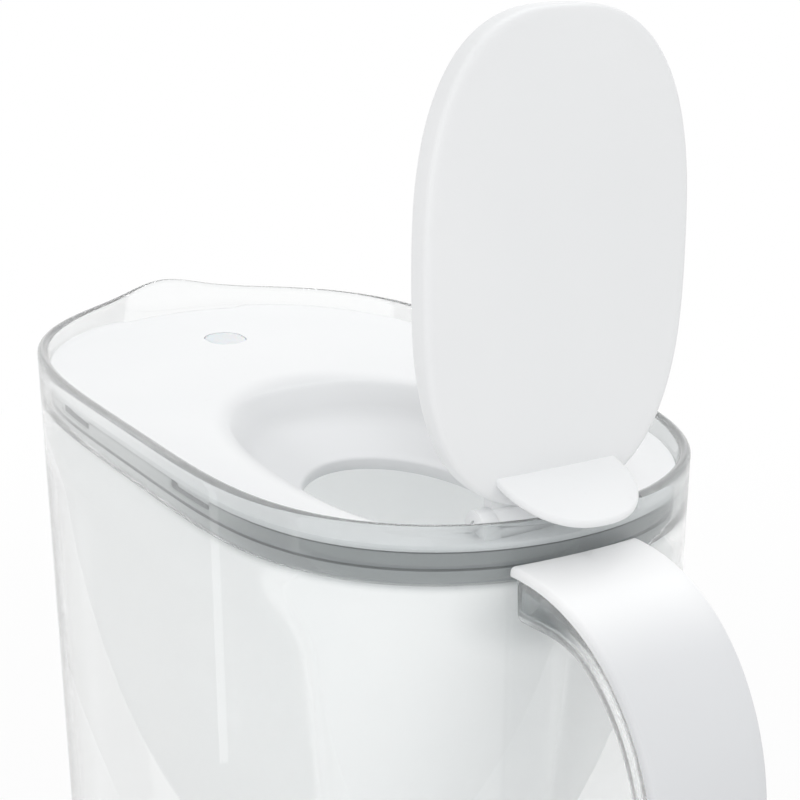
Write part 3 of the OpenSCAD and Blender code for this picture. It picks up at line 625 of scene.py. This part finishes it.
# A shallow tray, hollow at the back and crowned on its face
def makeFlipLid():
    s = flipSizes
    face, back, foot, edge = s["face"], s["face"] - s["skin"], s["face"] - s["depth"], s["skin"]
    rings = [panelRing(i, back + crown(i)) for i in (26, 20, 14, 9, 5)]
    rings += stack(panelRing, back, (3.2, -0.1), (2.3, -0.5), (edge, -1.3))
    rings += stack(panelRing, foot, (edge, 0.25), (edge - 0.25, 0), (0.3, 0), (0.05, 0.3), (0, 1.2))
    rings += stack(panelRing, face, (0, -1.4), (0.08, -0.8), (0.3, -0.35), (0.7, -0.05), (1.3, 0.08))
    rings += [panelRing(i, face + crown(i)) for i in (2.4, 4.5, 7.5, 11, 15, 20, 26)]
    flip = smooth(cappedShape("flipLid", rings), 60)
    # the tab leans out from the face
    lean, half = radians(s["tabLean"]), s["tabWidth"] / 2
    rim = [oval(radians(a), s["tab"], half, s["tabSquare"]) for a in range(-90, 91, 5)]
    rim = [(-s["tabTuck"], -half), *rim, (-s["tabTuck"], half)]
    rings = []
    for h in (0, -s["tabThick"]):
        rings.append(standUp([(s["tabRoot"] + q[0] * sin(lean) + h * cos(lean), q[1],
                               s["face"] + q[0] * cos(lean) - h * sin(lean)) for q in rim]))
    join(flip, softEdges(cappedShape("tab", rings), 0.6, 3, 30))
    barrel = addCylinder("barrel", hingeX, 0, hingeZ, s["barrel"], 2 * barrelHalf, "Y")
    low, high = (hingeX - s["barrel"] + 0.4, -barrelHalf, hingeZ), (hingeX, barrelHalf, hingeZ + s["neck"])
    join(barrel, addBox("neck", low, high))
    join(flip, softEdges(barrel, 0.3, 2))
    length = 2 * (lugY + lidSizes["lugThick"] - s["stubShort"])
    stub = addCylinder("stub", hingeX, 0, hingeZ, s["stub"], length, "Y", 48)
    join(flip, softEdges(stub, 0.25, 2))
    return smooth(flip)


print("flip lid")
flipLid = makeFlipLid()
handOver(flipLid, "flip_lid", "white_gloss", "flip_lid")

# Filter-change indicator: oval button, housing under the lid and battery door
indicatorSizes = {
    "face": 0.05, "flange": 0.9, "flangeOut": 1.4, "stem": 1.5, "stemLength": 1.1, "radius": 13.2,
    "wall": 1.4, "bore": 10.6, "boardDrop": 3.6, "layers": (2.6, 1, 2.3, 3.2, 2.8), "plug": 10.4, "door": 2,
    "coinSlot": (16, 1.6), "notches": 12, "notch": 0.8, "notchOut": 0.35, "count": 96,
}
buttonX = lidSizes["buttonX"]
flangeTop = lidTop - lidSizes["thick"] - 0.1


def makeButton():
    s = indicatorSizes
    l, w, d, out = lidSizes["buttonLength"], lidSizes["buttonWidth"], 2 * s["stem"], 2 * s["flangeOut"]
    top, low = lidTop - s["face"], flangeTop - s["flange"]
    foot = low - s["stemLength"]
    flange = ((0.4, low), (0, low + 0.2), (0, flangeTop - 0.2), (0.4, flangeTop))
    plate = ((0, flangeTop), (0, top - 0.55), (0.14, top - 0.25), (0.45, top - 0.08), (1.2, top - 0.02),
             (4, top), (7.6, top - 0.02))
    steps = [(d - 0.6, d - 0.6, foot), (d, d, foot + 0.3), (d, d, low)]
    steps += [(l + out - c, w + out - c, z) for c, z in flange]
    steps += [(l - c, w - c, z) for c, z in plate]
    return smooth(cappedShape("indicatorButton", stackRings(buttonX, steps)), 40)


def roundRings(steps):
    return stackRings(buttonX, [(d, d, z) for d, z in steps], indicatorSizes["count"])


# The housing is a cup hung from the lid, and the door a plug with a coin slot
def makeHousing():
    s = indicatorSizes
    top, board = lidTop - lidSizes["thick"], flangeTop - s["flange"] - s["boardDrop"]
    low = flangeTop - s["flange"]
    for layer in s["layers"]:
        low -= layer
    full, cup, bore = 2 * s["radius"], 2 * (s["radius"] - s["wall"]), 2 * s["bore"]
    steps = [(full - 0.5, low), (full, low + 0.25), (full, low + 2.2), (full - 0.3, low + 2.4)]
    steps += [(full - 0.3, low + 2.8), (full, low + 3), (full, top - 0.3), (full - 0.2, top)]
    steps += [(cup + 0.2, top), (cup, top - 0.2), (cup, board)]
    steps += [(bore, board), (bore, low + 0.2), (bore + 0.4, low)]
    return smooth(loopShape("indicatorHousing", roundRings(steps)), 40), low


def makeDoor(low):
    s = indicatorSizes
    r, full, plug, foot = s["radius"], 2 * s["radius"], 2 * s["plug"], low - s["door"]
    neck = 2 * (r - 0.5)
    steps = [(full - 3, foot), (full - 1, foot + 0.12), (full - 0.3, foot + 0.45), (full, foot + 0.9)]
    steps += [(full, low - 0.25), (full - 0.3, low), (neck, low), (neck, low - 0.8), (plug + 1, low - 0.8)]
    steps += [(plug + 1, low), (plug, low), (plug, low + 2.4), (plug - 0.6, low + 2.8)]
    door = cappedShape("batteryDoor", roundRings(steps))
    cut(door, addStadium("coinSlot", buttonX, *s["coinSlot"], foot - 1, foot + 0.8, 32))
    out, z = r + s["notchOut"], low - s["door"] / 2 - 0.4
    for k in range(s["notches"]):
        a = tau * (k + 0.5) / s["notches"]
        notch = addCylinder("notch", buttonX + out * cos(a), out * sin(a), z, s["notch"], s["door"])
        cut(door, notch)
    return smooth(door)


print("indicator")
button = makeButton()
housing, housingLow = makeHousing()
door = makeDoor(housingLow)
handOver(button, "indicator_button", "white_gloss", "indicator_button")
handOver(housing, "lid", "white_gloss", "indicator_housing")
handOver(door, "lid", "white_gloss", "battery_door")

# Cartridge: oval shell with outlet slots, and a cap with inlets and a pull grip
cartridgeSizes = {
    "x": 16, "length": 62, "width": 50, "drop": 76, "wall": 1.6, "flange": 1.6, "flangeThick": 2, "floor": 2,
    "sealDrop": 8, "seal": 3, "groove": 0.8, "slots": 7, "pitch": 6, "slotWidth": 2.4,
    "ribs": 30, "rib": 0.45, "cap": 18, "spigot": 6, "inlets": 6, "inletPitch": 7, "inletAside": 11.2,
    "inletLength": 10, "inletWidth": 2, "domeDrop": 8, "gripHalf": 12, "gripThick": 3,
}


# Oval ring grown outwards; fluted ones dip between their ribs
def cartRing(grow, z, flute=0):
    s = cartridgeSizes
    points = []
    for i in range(ringCount * 2):
        t = tau * (i + 0.5) / (ringCount * 2)
        dip = flute * (0.5 + 0.5 * cos(t * s["ribs"])) ** 0.5
        p = stadium(t, (s["length"] - s["width"]) / 2, s["width"] / 2 + grow - dip)
        points.append((s["x"] + p[0], p[1], z))
    return points


def slotAcross(obj, x, y, length, width, low, high):
    slot = addStadium("slot", 0, length, width, low, high, 32)
    for v in slot.data.vertices:
        v.co = Vector((x * mm - v.co.y, v.co.x + y * mm, v.co.z))
    cut(obj, slot)


def makeShell():
    s = cartridgeSizes
    rib, dip, out, thick = s["rib"], s["groove"], s["flange"], s["wall"]
    low, top, grooveTop = seatZ - s["drop"], seatZ + s["flangeThick"], seatZ - s["sealDrop"]
    rings = stack(cartRing, low, (-6, 0), (-2.2, 0), (-1.1, 0.35), (-0.35, 1.1), (0, 2.2), (0, 7),
                  (0, 7.6, rib * 0.4), (0, 8.6, rib), (0, 20, rib), (0, 35, rib), (0, 48, rib),
                  (0, 55.4, rib), (0, 56.4, rib * 0.4), (0, 57))
    rings += stack(cartRing, grooveTop - s["seal"], (0, -0.2), (-0.2, 0), (-dip, 0))
    rings += stack(cartRing, grooveTop, (-dip, 0), (-0.2, 0), (0, 0.2))
    rings += stack(cartRing, seatZ, (0, -0.5), (0.5, 0), (out - 0.3, 0), (out, 0.3))
    rings += stack(cartRing, top, (out, -0.15), (out - 0.15, 0), (-thick + 0.2, 0), (-thick, -0.2))
    rings += stack(cartRing, low + s["floor"], (-thick, 1), (-thick - 1, 0), (-8, 0))
    shell = smooth(cappedShape("cartridgeShell", rings), 40)
    for k in range(s["slots"]):
        x = s["x"] + (k - (s["slots"] - 1) / 2) * s["pitch"]
        slotAcross(shell, x, 0, s["width"] * 0.6, s["slotWidth"], low - 1, low + s["floor"] + 1)
    return smooth(shell)


# The cap has two rows of inlets with the grip between them
def makeCap():
    s = cartridgeSizes
    base, inner, out = seatZ + s["flangeThick"], -s["wall"] - 0.1, s["flange"]
    dome = base + s["cap"] - s["domeDrop"]
    rings = stack(cartRing, dome, (-8.4, -1.4), (-6.9, -1.6), (-6.4, -2.4))
    rings += stack(cartRing, base - s["spigot"], (-6.4, 0.2), (-6.2, 0), (inner - 0.3, 0), (inner, 0.3))
    rings += stack(cartRing, base, (inner, 0), (out - 0.2, 0), (out, 0.2), (out, 1.1), (out - 0.5, 1.6),
                   (-3.6, 1.6), (-4.6, 2), (-5, 3))
    rings += stack(cartRing, dome, (-5, -2), (-5.25, -0.9), (-6, -0.25), (-7.2, 0), (-14, 0.05))
    cap = smooth(cappedShape("cartridgeCap", rings), 45)
    for k in range(s["inlets"]):
        for y in (-s["inletAside"], s["inletAside"]):
            x = s["x"] + (k - (s["inlets"] - 1) / 2) * s["inletPitch"]
            slotAcross(cap, x, y, s["inletLength"], s["inletWidth"], dome - 4, dome + 2)
    half, thick = s["gripHalf"], s["gripThick"] / 2
    grip = addBox("grip", (s["x"] - half, -thick, dome - 0.4), (s["x"] + half, thick, base + s["cap"]))
    activate(grip)
    bpy.ops.object.mode_set(mode="EDIT")
    bpy.ops.mesh.select_all(action="DESELECT")
    mesh = bmesh.from_edit_mesh(grip.data)
    for e in mesh.edges:
        a, b = e.verts
        if abs(a.co.z - b.co.z) < 1e-5 and a.co.z > dome * mm and abs(a.co.x - b.co.x) < 1e-5:
            e.select_set(True)
    bmesh.update_edit_mesh(grip.data)
    bpy.ops.mesh.bevel(offset=3 * mm, segments=8, affect="EDGES")
    bpy.ops.object.mode_set(mode="OBJECT")
    join(cap, softEdges(grip, 0.4, 3, 50))
    return smooth(cap)


print("cartridge")
shell, cap = makeShell(), makeCap()
handOver(shell, "cartridge", "cartridge_plastic", "cartridge_shell")
handOver(cap, "cartridge", "cartridge_plastic", "cartridge_cap")

# Finishes
print("finishes")


class Graph:
    def __init__(self, tree):
        self.tree = tree

    def node(self, kind, values=None, **settings):
        n = self.tree.nodes.new("ShaderNode" + kind)
        for key, value in settings.items():
            setattr(n, key, value)
        for key, value in (values or {}).items():
            self.feed(n.inputs[key], value)
        return n

    # a link, or a constant; colours are given without their alpha
    def feed(self, socket, value):
        if isinstance(value, bpy.types.NodeSocket):
            self.tree.links.new(value, socket)
        else:
            socket.default_value = (*value, 1) if socket.type == "RGBA" else value

    def math(self, how, a, b=0.5, clamp=False):
        return self.node("Math", {0: a, 1: b}, operation=how, use_clamp=clamp).outputs[0]

    def times(self, a, b):
        return self.math("MULTIPLY", a, b)

    def span(self, value, low, high, start=0, end=1):
        ends = {"Value": value, "From Min": start, "From Max": end, "To Min": low, "To Max": high}
        return self.node("MapRange", ends, interpolation_type="SMOOTHSTEP").outputs["Result"]

    def blend(self, share, a, b):
        return self.node("Mix", {0: share, 6: a, 7: b}, data_type="RGBA").outputs[2]

    def noise(self, place, scale, detail, rough):
        values = {"Vector": place, "Scale": scale, "Detail": detail, "Roughness": rough}
        return self.node("TexNoise", values).outputs["Fac"]

    def place(self):
        return self.node("TexCoord").outputs["Object"]

    def split(self, vector):
        return self.node("SeparateXYZ", {0: vector}).outputs

    def scaled(self, place, scale):
        return self.node("Mapping", {"Vector": place, "Scale": scale}).outputs["Vector"]


marksSettings = {"Drift scale": 14.0, "Grain scale": 900.0, "Rub scale": 90.0, "Rub amount": 0.3}


# Shared by all moulded plastic: slow colour drift, fine grain, faint rub marks and settled dust
def makeMouldedGroup():
    tree = bpy.data.node_groups.new("mouldedPlastic", "ShaderNodeTree")
    face = tree.interface
    for name, value in marksSettings.items():
        face.new_socket(name, in_out="INPUT", socket_type="NodeSocketFloat").default_value = value
    for name in ("Drift", "Rub", "Dust", "Height"):
        face.new_socket(name, in_out="OUTPUT", socket_type="NodeSocketFloat")
    g = Graph(tree)
    inputs, outputs = tree.nodes.new("NodeGroupInput").outputs, tree.nodes.new("NodeGroupOutput").inputs
    place = g.place()
    drift = g.noise(place, inputs["Drift scale"], 2, 0.5)
    grain = g.noise(place, inputs["Grain scale"], 2, 0.6)
    stretch = g.node("Mapping", {"Vector": place, "Scale": (1, 0.12, 1), "Rotation": (0.3, 0.2, 0.7)})
    rubNoise = g.noise(stretch.outputs["Vector"], inputs["Rub scale"], 5, 0.7)
    rub = g.times(g.span(rubNoise, 0, 1, 0.56, 0.75), inputs["Rub amount"])
    up = g.split(g.node("NewGeometry").outputs["Normal"])["Z"]
    specks = g.span(g.noise(place, 420, 2, 0.8), 0, 1, 0.62, 0.78)
    dust = g.times(specks, g.math("MAXIMUM", up, 0))
    height = g.math("ADD", g.times(grain, 0.5), g.times(drift, 2.5))
    for name, value in (("Drift", drift), ("Rub", rub), ("Dust", dust), ("Height", height)):
        g.feed(outputs[name], value)
    return tree


moulded = makeMouldedGroup()


def startMaterial(name):
    mat = bpy.data.materials.new(name)
    mat.use_nodes = True
    return mat, Graph(mat.node_tree), mat.node_tree.nodes["Principled BSDF"]


def mixSurface(mat, g, share, first, second):
    mixed = g.node("MixShader", {0: share, 1: first.outputs[0], 2: second.outputs[0]})
    g.feed(mat.node_tree.nodes["Material Output"].inputs["Surface"], mixed.outputs[0])


def dress(g, skin, colour, rough, height, strength, distance, invert=False):
    bump = g.node("Bump", {"Strength": strength, "Distance": distance, "Height": height}, invert=invert)
    for key, value in (("Base Color", colour), ("Roughness", rough), ("Normal", bump.outputs["Normal"])):
        g.feed(skin.inputs[key], value)


def plastic(name, s):
    mat, g, skin = startMaterial(name)
    marks = g.node("Group", node_tree=moulded)
    for key, value in marksSettings.items():
        marks.inputs[key].default_value = s.get(key, value)
    out = marks.outputs
    colour = g.blend(g.span(out["Drift"], 0, 1, 0.3, 0.7), s["colour"], s["second"])
    colour = g.blend(g.times(out["Dust"], s.get("dust", 0.1)), colour, (0.55, 0.53, 0.5))
    # painted collar shade and a painted lighting patch, where the settings give them
    if "collar" in s:
        colour = paintedCollarShade(g, colour, s["collar"])
    if "paintedPatch" in s:
        colour = paintedLightingPatch(g, colour, s["paintedPatch"])
    rough = g.math("ADD", g.span(out["Drift"], *s["rough"], 0.3, 0.7), g.times(out["Rub"], 0.2))
    dress(g, skin, colour, rough, out["Height"], s["bump"], 0.00008)
    for key, value in s.get("plain", {}).items():
        skin.inputs[key].default_value = value
    if "shadow" in s:
        letThrough(mat, g, skin, s["shadow"], s.get("clear", 0), s.get("spread", 0))
    return mat


# Lamp light passes the piece, tinted, and so does the share spread of scattered light;
# clear is the share seen straight through
def letThrough(mat, g, skin, tint, clear, spread):
    through = g.node("BsdfTransparent", {"Color": tint})
    path = g.node("LightPath").outputs
    share = g.math("MAXIMUM", path["Is Shadow Ray"], g.times(path["Is Diffuse Ray"], spread))
    mixSurface(mat, g, g.math("MAXIMUM", share, clear), skin, through)


# Painted shade: a collar reads darker, most at the handle end, with fine lines of painted shade where it
# steps
def paintedCollarShade(g, colour, s):
    parts = g.split(g.place())
    shadeBand = g.span(parts["Z"], 0, 1, s["foot"] - s["soft"], s["foot"] + s["soft"])
    end = g.span(parts["X"], s["light"], s["dark"], s["from"], s["to"])
    colour = g.blend(g.times(shadeBand, end), colour, s["colour"])
    for z in s["lines"]:
        away = g.math("ABSOLUTE", g.math("SUBTRACT", parts["Z"], z))
        line = g.span(away, s["lineDepth"], 0, s["line"] * 0.6, s["line"])
        colour = g.blend(line, colour, s["shadeLineColour"])
    return colour


# A soft-edged zone of another tone, round a point once the place is scaled: painted shade where it is darker,
# painted light where it is paler
def paintedLightingPatch(g, colour, s):
    scaled = g.scaled(g.place(), s["scale"])
    away = g.node("VectorMath", {0: scaled, 1: s["point"]}, operation="DISTANCE").outputs["Value"]
    return g.blend(g.span(away, 1, 0, s["near"], s["far"]), colour, s["colour"])


# painted shade on the hopper's collar band, with painted shade lines at its step and at its top
hopperCollarShade = {
    "foot": 0.2362, "soft": 0.0012, "from": 0.01, "to": 0.08, "light": 0.45, "dark": 0.97,
    "colour": (0.39, 0.405, 0.41), "lines": (0.2401, 0.2437), "line": 0.00024, "lineDepth": 0.92,
    "shadeLineColour": (0.08, 0.085, 0.09),
}
# painted shade on the clear wall's collar band, darkest towards the handle end
jugCollarShade = {
    "foot": 0.2365, "soft": 0.001, "from": -0.03, "to": 0.075, "light": 0.02, "dark": 0.75,
    "colour": (0.6, 0.63, 0.635), "lines": (),
}
# painted shade in the clear handle channel at its root
channelRootShade = {
    "scale": (1, 0, 1), "point": (0.110, 0, 0.2305), "near": 0.004, "far": 0.014,
    "colour": (0.5, 0.525, 0.53),
}
# painted light on the handle cover's root, where the flip lid's tab shades it
coverRootLight = {
    "scale": (1, 0, 1), "point": (0.112, 0, 0.241), "near": 0.006, "far": 0.027,
    "colour": (0.87, 0.875, 0.88),
}
# the lid's recess is greyer than its top: painted shade
lidRecessShade = {
    "scale": (1, 1.68, 0), "point": (0.038, 0, 0), "near": 0.058, "far": 0.068,
    "colour": (0.675, 0.685, 0.695),
}
glossSettings = {
    "colour": (0.81, 0.818, 0.825), "second": (0.79, 0.8, 0.808), "rough": (0.29, 0.35), "bump": 0.25,
    "Rub amount": 0.15, "plain": {"IOR": 1.49, "Coat Weight": 0.15, "Coat Roughness": 0.08},
    "shadow": (0.7, 0.7, 0.7),
}
whiteGloss = plastic("whiteGloss", glossSettings)
lidWhite = plastic("lidWhite", {**glossSettings, "shadow": (0.8, 0.8, 0.8), "paintedPatch": lidRecessShade})
# a darker copy of the white gloss: painted shade on the handle cover
shadedCoverWhite = plastic("shadedCoverWhite", {
    "colour": (0.68, 0.69, 0.705), "second": (0.66, 0.672, 0.688), "rough": (0.29, 0.36), "bump": 0.3,
    "Rub amount": 0.2, "plain": {"IOR": 1.49, "Coat Weight": 0.1, "Coat Roughness": 0.1},
    "shadow": (0.6, 0.6, 0.6), "paintedPatch": coverRootLight,
})
buttonWhite = plastic("buttonWhite", {
    "colour": (0.72, 0.74, 0.76), "second": (0.68, 0.7, 0.72), "rough": (0.3, 0.38), "bump": 0.3,
    "plain": {"IOR": 1.49, "Subsurface Weight": 0.2, "Subsurface Scale": 0.004},
})
clearPlastic = plastic("clearPlastic", {
    "colour": (0.99, 0.995, 0.994), "second": (0.983, 0.99, 0.99), "rough": (0.02, 0.03), "bump": 0.04,
    "dust": 0.0, "Rub amount": 0.02, "plain": {"IOR": 1.45, "Transmission Weight": 1.0},
    "shadow": (0.98, 0.985, 0.985), "clear": 0.15, "spread": 1, "collar": jugCollarShade, "paintedPatch": channelRootShade,
})
frosted = plastic("frostedPlastic", {
    "colour": (0.965, 0.97, 0.97), "second": (0.955, 0.962, 0.963), "rough": (0.4, 0.5), "bump": 0.4,
    "Grain scale": 1500, "plain": {"IOR": 1.5, "Transmission Weight": 0.25},
    "shadow": (0.95, 0.955, 0.955), "spread": 0.7, "collar": hopperCollarShade,
})
# painted shade for the slots' edges
slotShade = plastic("slotShade", {
    "colour": (0.1, 0.105, 0.11), "second": (0.13, 0.135, 0.14), "rough": (0.5, 0.6), "bump": 0.4,
    "Grain scale": 1500,
})
# a brighter white that paints light on the lid's skirt behind the slots
skirtPaintedLight = plastic("skirtPaintedLight", {
    "colour": (0.96, 0.965, 0.97), "second": (0.94, 0.95, 0.955), "rough": (0.35, 0.45), "bump": 0.3,
    "shadow": (0.9, 0.9, 0.9),
})
cartridgeWhite = plastic("cartridgePlastic", {
    "colour": (0.82, 0.85, 0.87), "second": (0.79, 0.825, 0.85), "rough": (0.3, 0.4), "bump": 0.35,
    "plain": {"IOR": 1.5, "Subsurface Weight": 0.12, "Subsurface Scale": 0.003},
})
silicone = plastic("silicone", {
    "colour": (0.5, 0.52, 0.54), "second": (0.44, 0.46, 0.48), "rough": (0.6, 0.75), "bump": 0.5,
    "Grain scale": 2500, "plain": {"IOR": 1.42, "Subsurface Weight": 0.15, "Subsurface Scale": 0.002},
})
switchBlack = plastic("switchBlack", {
    "colour": (0.03, 0.03, 0.032), "second": (0.045, 0.044, 0.043), "rough": (0.45, 0.6), "bump": 0.5,
    "Grain scale": 3000,
})
ledLens = plastic("ledLens", {
    "colour": (0.93, 0.9, 0.78), "second": (0.9, 0.86, 0.7), "rough": (0.1, 0.2), "bump": 0.1,
    "plain": {"IOR": 1.52, "Transmission Weight": 0.6},
})


# Square weave, with threads over and under
def wovenMesh():
    mat, g, skin = startMaterial("wovenMesh")
    place = g.place()
    parts = g.split(place)
    pitch = tau / 0.0012
    across, along = [g.math("SINE", g.times(parts[axis], pitch), 0) for axis in "XY"]
    thread = g.math("MAXIMUM", g.math("ABSOLUTE", across), g.math("ABSOLUTE", along))
    hole = g.span(thread, 1, 0, 0.45, 0.75)
    dirt = g.noise(place, 160, 4, 0.6)
    colour = g.blend(hole, (0.66, 0.67, 0.68), (0.16, 0.16, 0.16))
    colour = g.blend(g.span(dirt, 0, 0.35, 0.45, 0.75), colour, (0.5, 0.47, 0.42))
    over = g.math("ADD", thread, g.times(g.times(across, along), 0.4))
    dress(g, skin, colour, g.span(dirt, 0.55, 0.8), over, 0.8, 0.0002)
    return mat


# Dark carbon grains with amber resin beads among them
def granules():
    mat, g, skin = startMaterial("granules")
    cells = g.node("TexVoronoi", {"Vector": g.place(), "Scale": 900.0}).outputs
    tone = g.node("SeparateColor", {0: cells["Color"]}).outputs
    carbon = g.blend(tone["Green"], (0.012, 0.012, 0.013), (0.05, 0.048, 0.045))
    resin = g.blend(tone["Blue"], (0.30, 0.17, 0.06), (0.5, 0.34, 0.16))
    colour = g.blend(g.span(tone["Red"], 0, 1, 0.52, 0.56), carbon, resin)
    dress(g, skin, colour, g.span(tone["Red"], 0.75, 0.3), cells["Distance"], 0.9, 0.0004, True)
    return mat


# Lacquered board with a few copper tracks under the green
def circuitBoard():
    mat, g, skin = startMaterial("circuitBoard")
    place = g.place()
    tones = {"Color1": (0, 0, 0), "Color2": (0, 0, 0), "Mortar": (1, 1, 1), "Mortar Size": 0.06}
    tracks = g.node("TexBrick", {"Vector": place, "Scale": 420.0, **tones}).outputs["Fac"]
    speck = g.noise(place, 700, 3, 0.6)
    colour = g.blend(tracks, (0.01, 0.14, 0.05), (0.06, 0.3, 0.12))
    colour = g.blend(g.span(speck, 0, 0.4, 0.5, 0.8), colour, (0.02, 0.09, 0.04))
    dress(g, skin, colour, g.span(speck, 0.25, 0.45), tracks, 0.4, 0.00005)
    skin.inputs["Coat Weight"].default_value = 0.5
    return mat


# Metal with fine turning or rolling lines and some tarnish
def metal(name, s):
    mat, g, skin = startMaterial(name)
    place = g.place()
    lines = g.noise(g.scaled(place, s["lines"]), 500, 2, 0.6)
    stain = g.noise(place, 260, 4, 0.65)
    colour = g.blend(g.span(lines, 0, 1, 0.35, 0.65), s["colour"], s["second"])
    colour = g.blend(g.span(stain, 0, 0.5, 0.55, 0.8), colour, s["stain"])
    rough = g.math("ADD", g.span(lines, *s["rough"]), g.span(stain, 0, 0.15, 0.5, 0.8))
    dress(g, skin, colour, rough, lines, 0.35, 0.00003)
    skin.inputs["Metallic"].default_value = 1
    return mat


cellSteel = metal("cellSteel", {
    "colour": (0.62, 0.62, 0.63), "second": (0.52, 0.52, 0.53), "stain": (0.4, 0.39, 0.37),
    "rough": (0.18, 0.34), "lines": (1, 0.06, 1),
})
contactBrass = metal("contactBrass", {
    "colour": (0.78, 0.6, 0.3), "second": (0.68, 0.5, 0.24), "stain": (0.4, 0.27, 0.13),
    "rough": (0.22, 0.4), "lines": (0.06, 1, 1),
})


def wear(obj, *mats):
    obj.data.materials.clear()
    for mat in mats:
        obj.data.materials.append(mat)


wear(clearJug, clearPlastic)
wear(handleCover, shadedCoverWhite)
wear(hopper, frosted, slotShade)
wear(lid, lidWhite, skirtPaintedLight)
wear(button, buttonWhite)
for piece in (flipLid, housing, door):
    wear(piece, whiteGloss)
for piece in (shell, cap):
    wear(piece, cartridgeWhite)


# The air slots get painted shade on their edges, and the lid's skirt behind them gets painted light
def edgeSlots():
    s = hopperSizes
    foot, top = collarTop - s["slotHeight"] - 0.1, collarTop - 0.05
    for face in hopper.data.polygons:
        c = face.center / mm
        inSlot = any(abs(c.x - x) < s["slotLength"] / 2 + 0.1 for x in s["slotsAt"])
        if inSlot and foot < c.z < top and abs(face.normal.y) < 0.6:
            face.material_index = 1
    for face in lid.data.polygons:
        c = face.center / mm
        if c.z < top and abs(c.y) > 40 and abs(face.normal.y) > 0.6:
            face.material_index = 1


edgeSlots()
screen = wovenMesh()
kept = {
    "inlet_screen": screen, "filter_media": granules(), "outlet_screen": screen, "cartridge_seal": silicone,
    "indicator_board": circuitBoard(), "indicator_led": ledLens, "indicator_switch": switchBlack,
    "coin_cell": cellSteel, "battery_contact": contactBrass, "indicator_seal": silicone,
}
for node, mat in kept.items():
    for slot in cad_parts[node].material_slots:
        slot.material = mat

# Floor, light and camera
studioSizes = {
    "floor": 30, "floorDrop": 0.0002, "floorColour": (0.74, 0.74, 0.74), "floorSecond": (0.71, 0.71, 0.71),
    "nearLift": 0.88, "nearEdge": 0.25, "farEdge": 0.8, "horizon": 1.0, "horizonUp": 0.12,
    "ceiling": 0.3, "ceilingUp": 0.6, "fillFrom": (0.93, -0.28, 0.25), "fill": (0.55, 1.05),
    "lamps": (
        ("backLamp", (-0.3, 0.45, 1.15), (0, 0, 0.2), 0.7, 0.7, 4.6, False),
        ("frontLamp", (0.75, -1.05, 0.7), (0, 0, 0.2), 1.7, 1.7, 4.6, False),
        ("handleLamp", (0.62, 0.3, 0.95), (0.12, 0, 0.25), 0.6, 0.6, 0.35, False),
        ("stripLamp", (-0.162, -0.229, 0.101), (0.0515, -0.0557, 0.223), 0.018, 0.13, 0.0055, True),
    ),
}
cameraSizes = {
    "azimuth": 59.897, "elevation": 17.459, "distance": 0.39265, "target": (0.032617, 0, 0.253683),
    "sensor": 36, "lens": 76.5, "clip": 0.01,
}


# The floor is lifted to white where it is seen, a little less close to the jug
def makeFloor():
    s = studioSizes
    bpy.ops.mesh.primitive_plane_add(size=s["floor"], location=(0, 0, -s["floorDrop"]))
    floor = bpy.context.object
    floor.name = "floor"
    mat, g, skin = startMaterial("paleFloor")
    place = g.place()
    g.feed(skin.inputs["Base Color"], g.blend(g.noise(place, 60, 3, 0.5), s["floorColour"], s["floorSecond"]))
    skin.inputs["Roughness"].default_value = 0.9
    skin.inputs["Specular IOR Level"].default_value = 0.1
    glow = g.node("Emission")
    away = g.node("VectorMath", {0: place}, operation="LENGTH").outputs["Value"]
    path = g.node("LightPath").outputs
    seen = g.math("ADD", path["Is Camera Ray"], path["Is Glossy Ray"], True)
    seen = g.math("ADD", seen, path["Is Transmission Ray"], True)
    share = g.times(seen, g.span(away, s["nearLift"], 1, s["nearEdge"], s["farEdge"]))
    mixSurface(mat, g, share, skin, glow)
    wear(floor, mat)


# White behind everything, reflections that darken upwards, and a soft fill from the handle's side
def makeWorld():
    s = studioSizes
    world = bpy.data.worlds.new("studio")
    bpy.context.scene.world = world
    world.use_nodes = True
    g = Graph(world.node_tree)
    way = g.node("TexCoord").outputs["Generated"]
    toLight = g.node("VectorMath", {0: way, 1: s["fillFrom"]}, operation="DOT_PRODUCT").outputs["Value"]
    fill = g.span(toLight, *s["fill"], -1, 1)
    sky = g.span(g.split(way)["Z"], s["horizon"], s["ceiling"], s["horizonUp"], s["ceilingUp"])
    path = g.node("LightPath").outputs
    sheen = g.math("ADD", path["Is Glossy Ray"], path["Is Transmission Ray"], True)
    dull = g.math("SUBTRACT", 1.0, sheen)
    level = g.math("ADD", g.times(sheen, sky), g.times(dull, fill))
    back = world.node_tree.nodes["Background"].inputs
    g.feed(back["Strength"], g.math("MAXIMUM", level, path["Is Camera Ray"]))
    g.feed(back["Color"], (1, 1, 1))


def aimAt(obj, way):
    obj.rotation_euler = way.to_track_quat("-Z", "Y").to_euler()


def makeLamps():
    for name, place, aim, width, height, power, glossOnly in studioSizes["lamps"]:
        bpy.ops.object.light_add(type="AREA", location=place)
        lamp = bpy.context.object
        lamp.name = lamp.data.name = name
        lamp.data.shape, lamp.data.energy = "RECTANGLE", power
        lamp.data.size, lamp.data.size_y = width, height
        aimAt(lamp, Vector(aim) - Vector(place))
        lamp.visible_camera = lamp.visible_transmission = False
        lamp.visible_glossy, lamp.visible_diffuse = glossOnly, not glossOnly


def makeCamera():
    s = cameraSizes
    azimuth, elevation = radians(s["azimuth"]), radians(s["elevation"])
    flat = cos(elevation)
    back = Vector((sin(azimuth) * flat, -cos(azimuth) * flat, sin(elevation)))
    bpy.ops.object.camera_add(location=Vector(s["target"]) + back * s["distance"])
    camera = bpy.context.object
    aimAt(camera, -back)
    camera.data.sensor_width, camera.data.lens, camera.data.clip_start = s["sensor"], s["lens"], s["clip"]
    bpy.context.scene.camera = camera


print("studio")
makeFloor()
makeWorld()
makeLamps()
makeCamera()
bpy.context.scene.view_settings.view_transform = "Standard"

print("done")
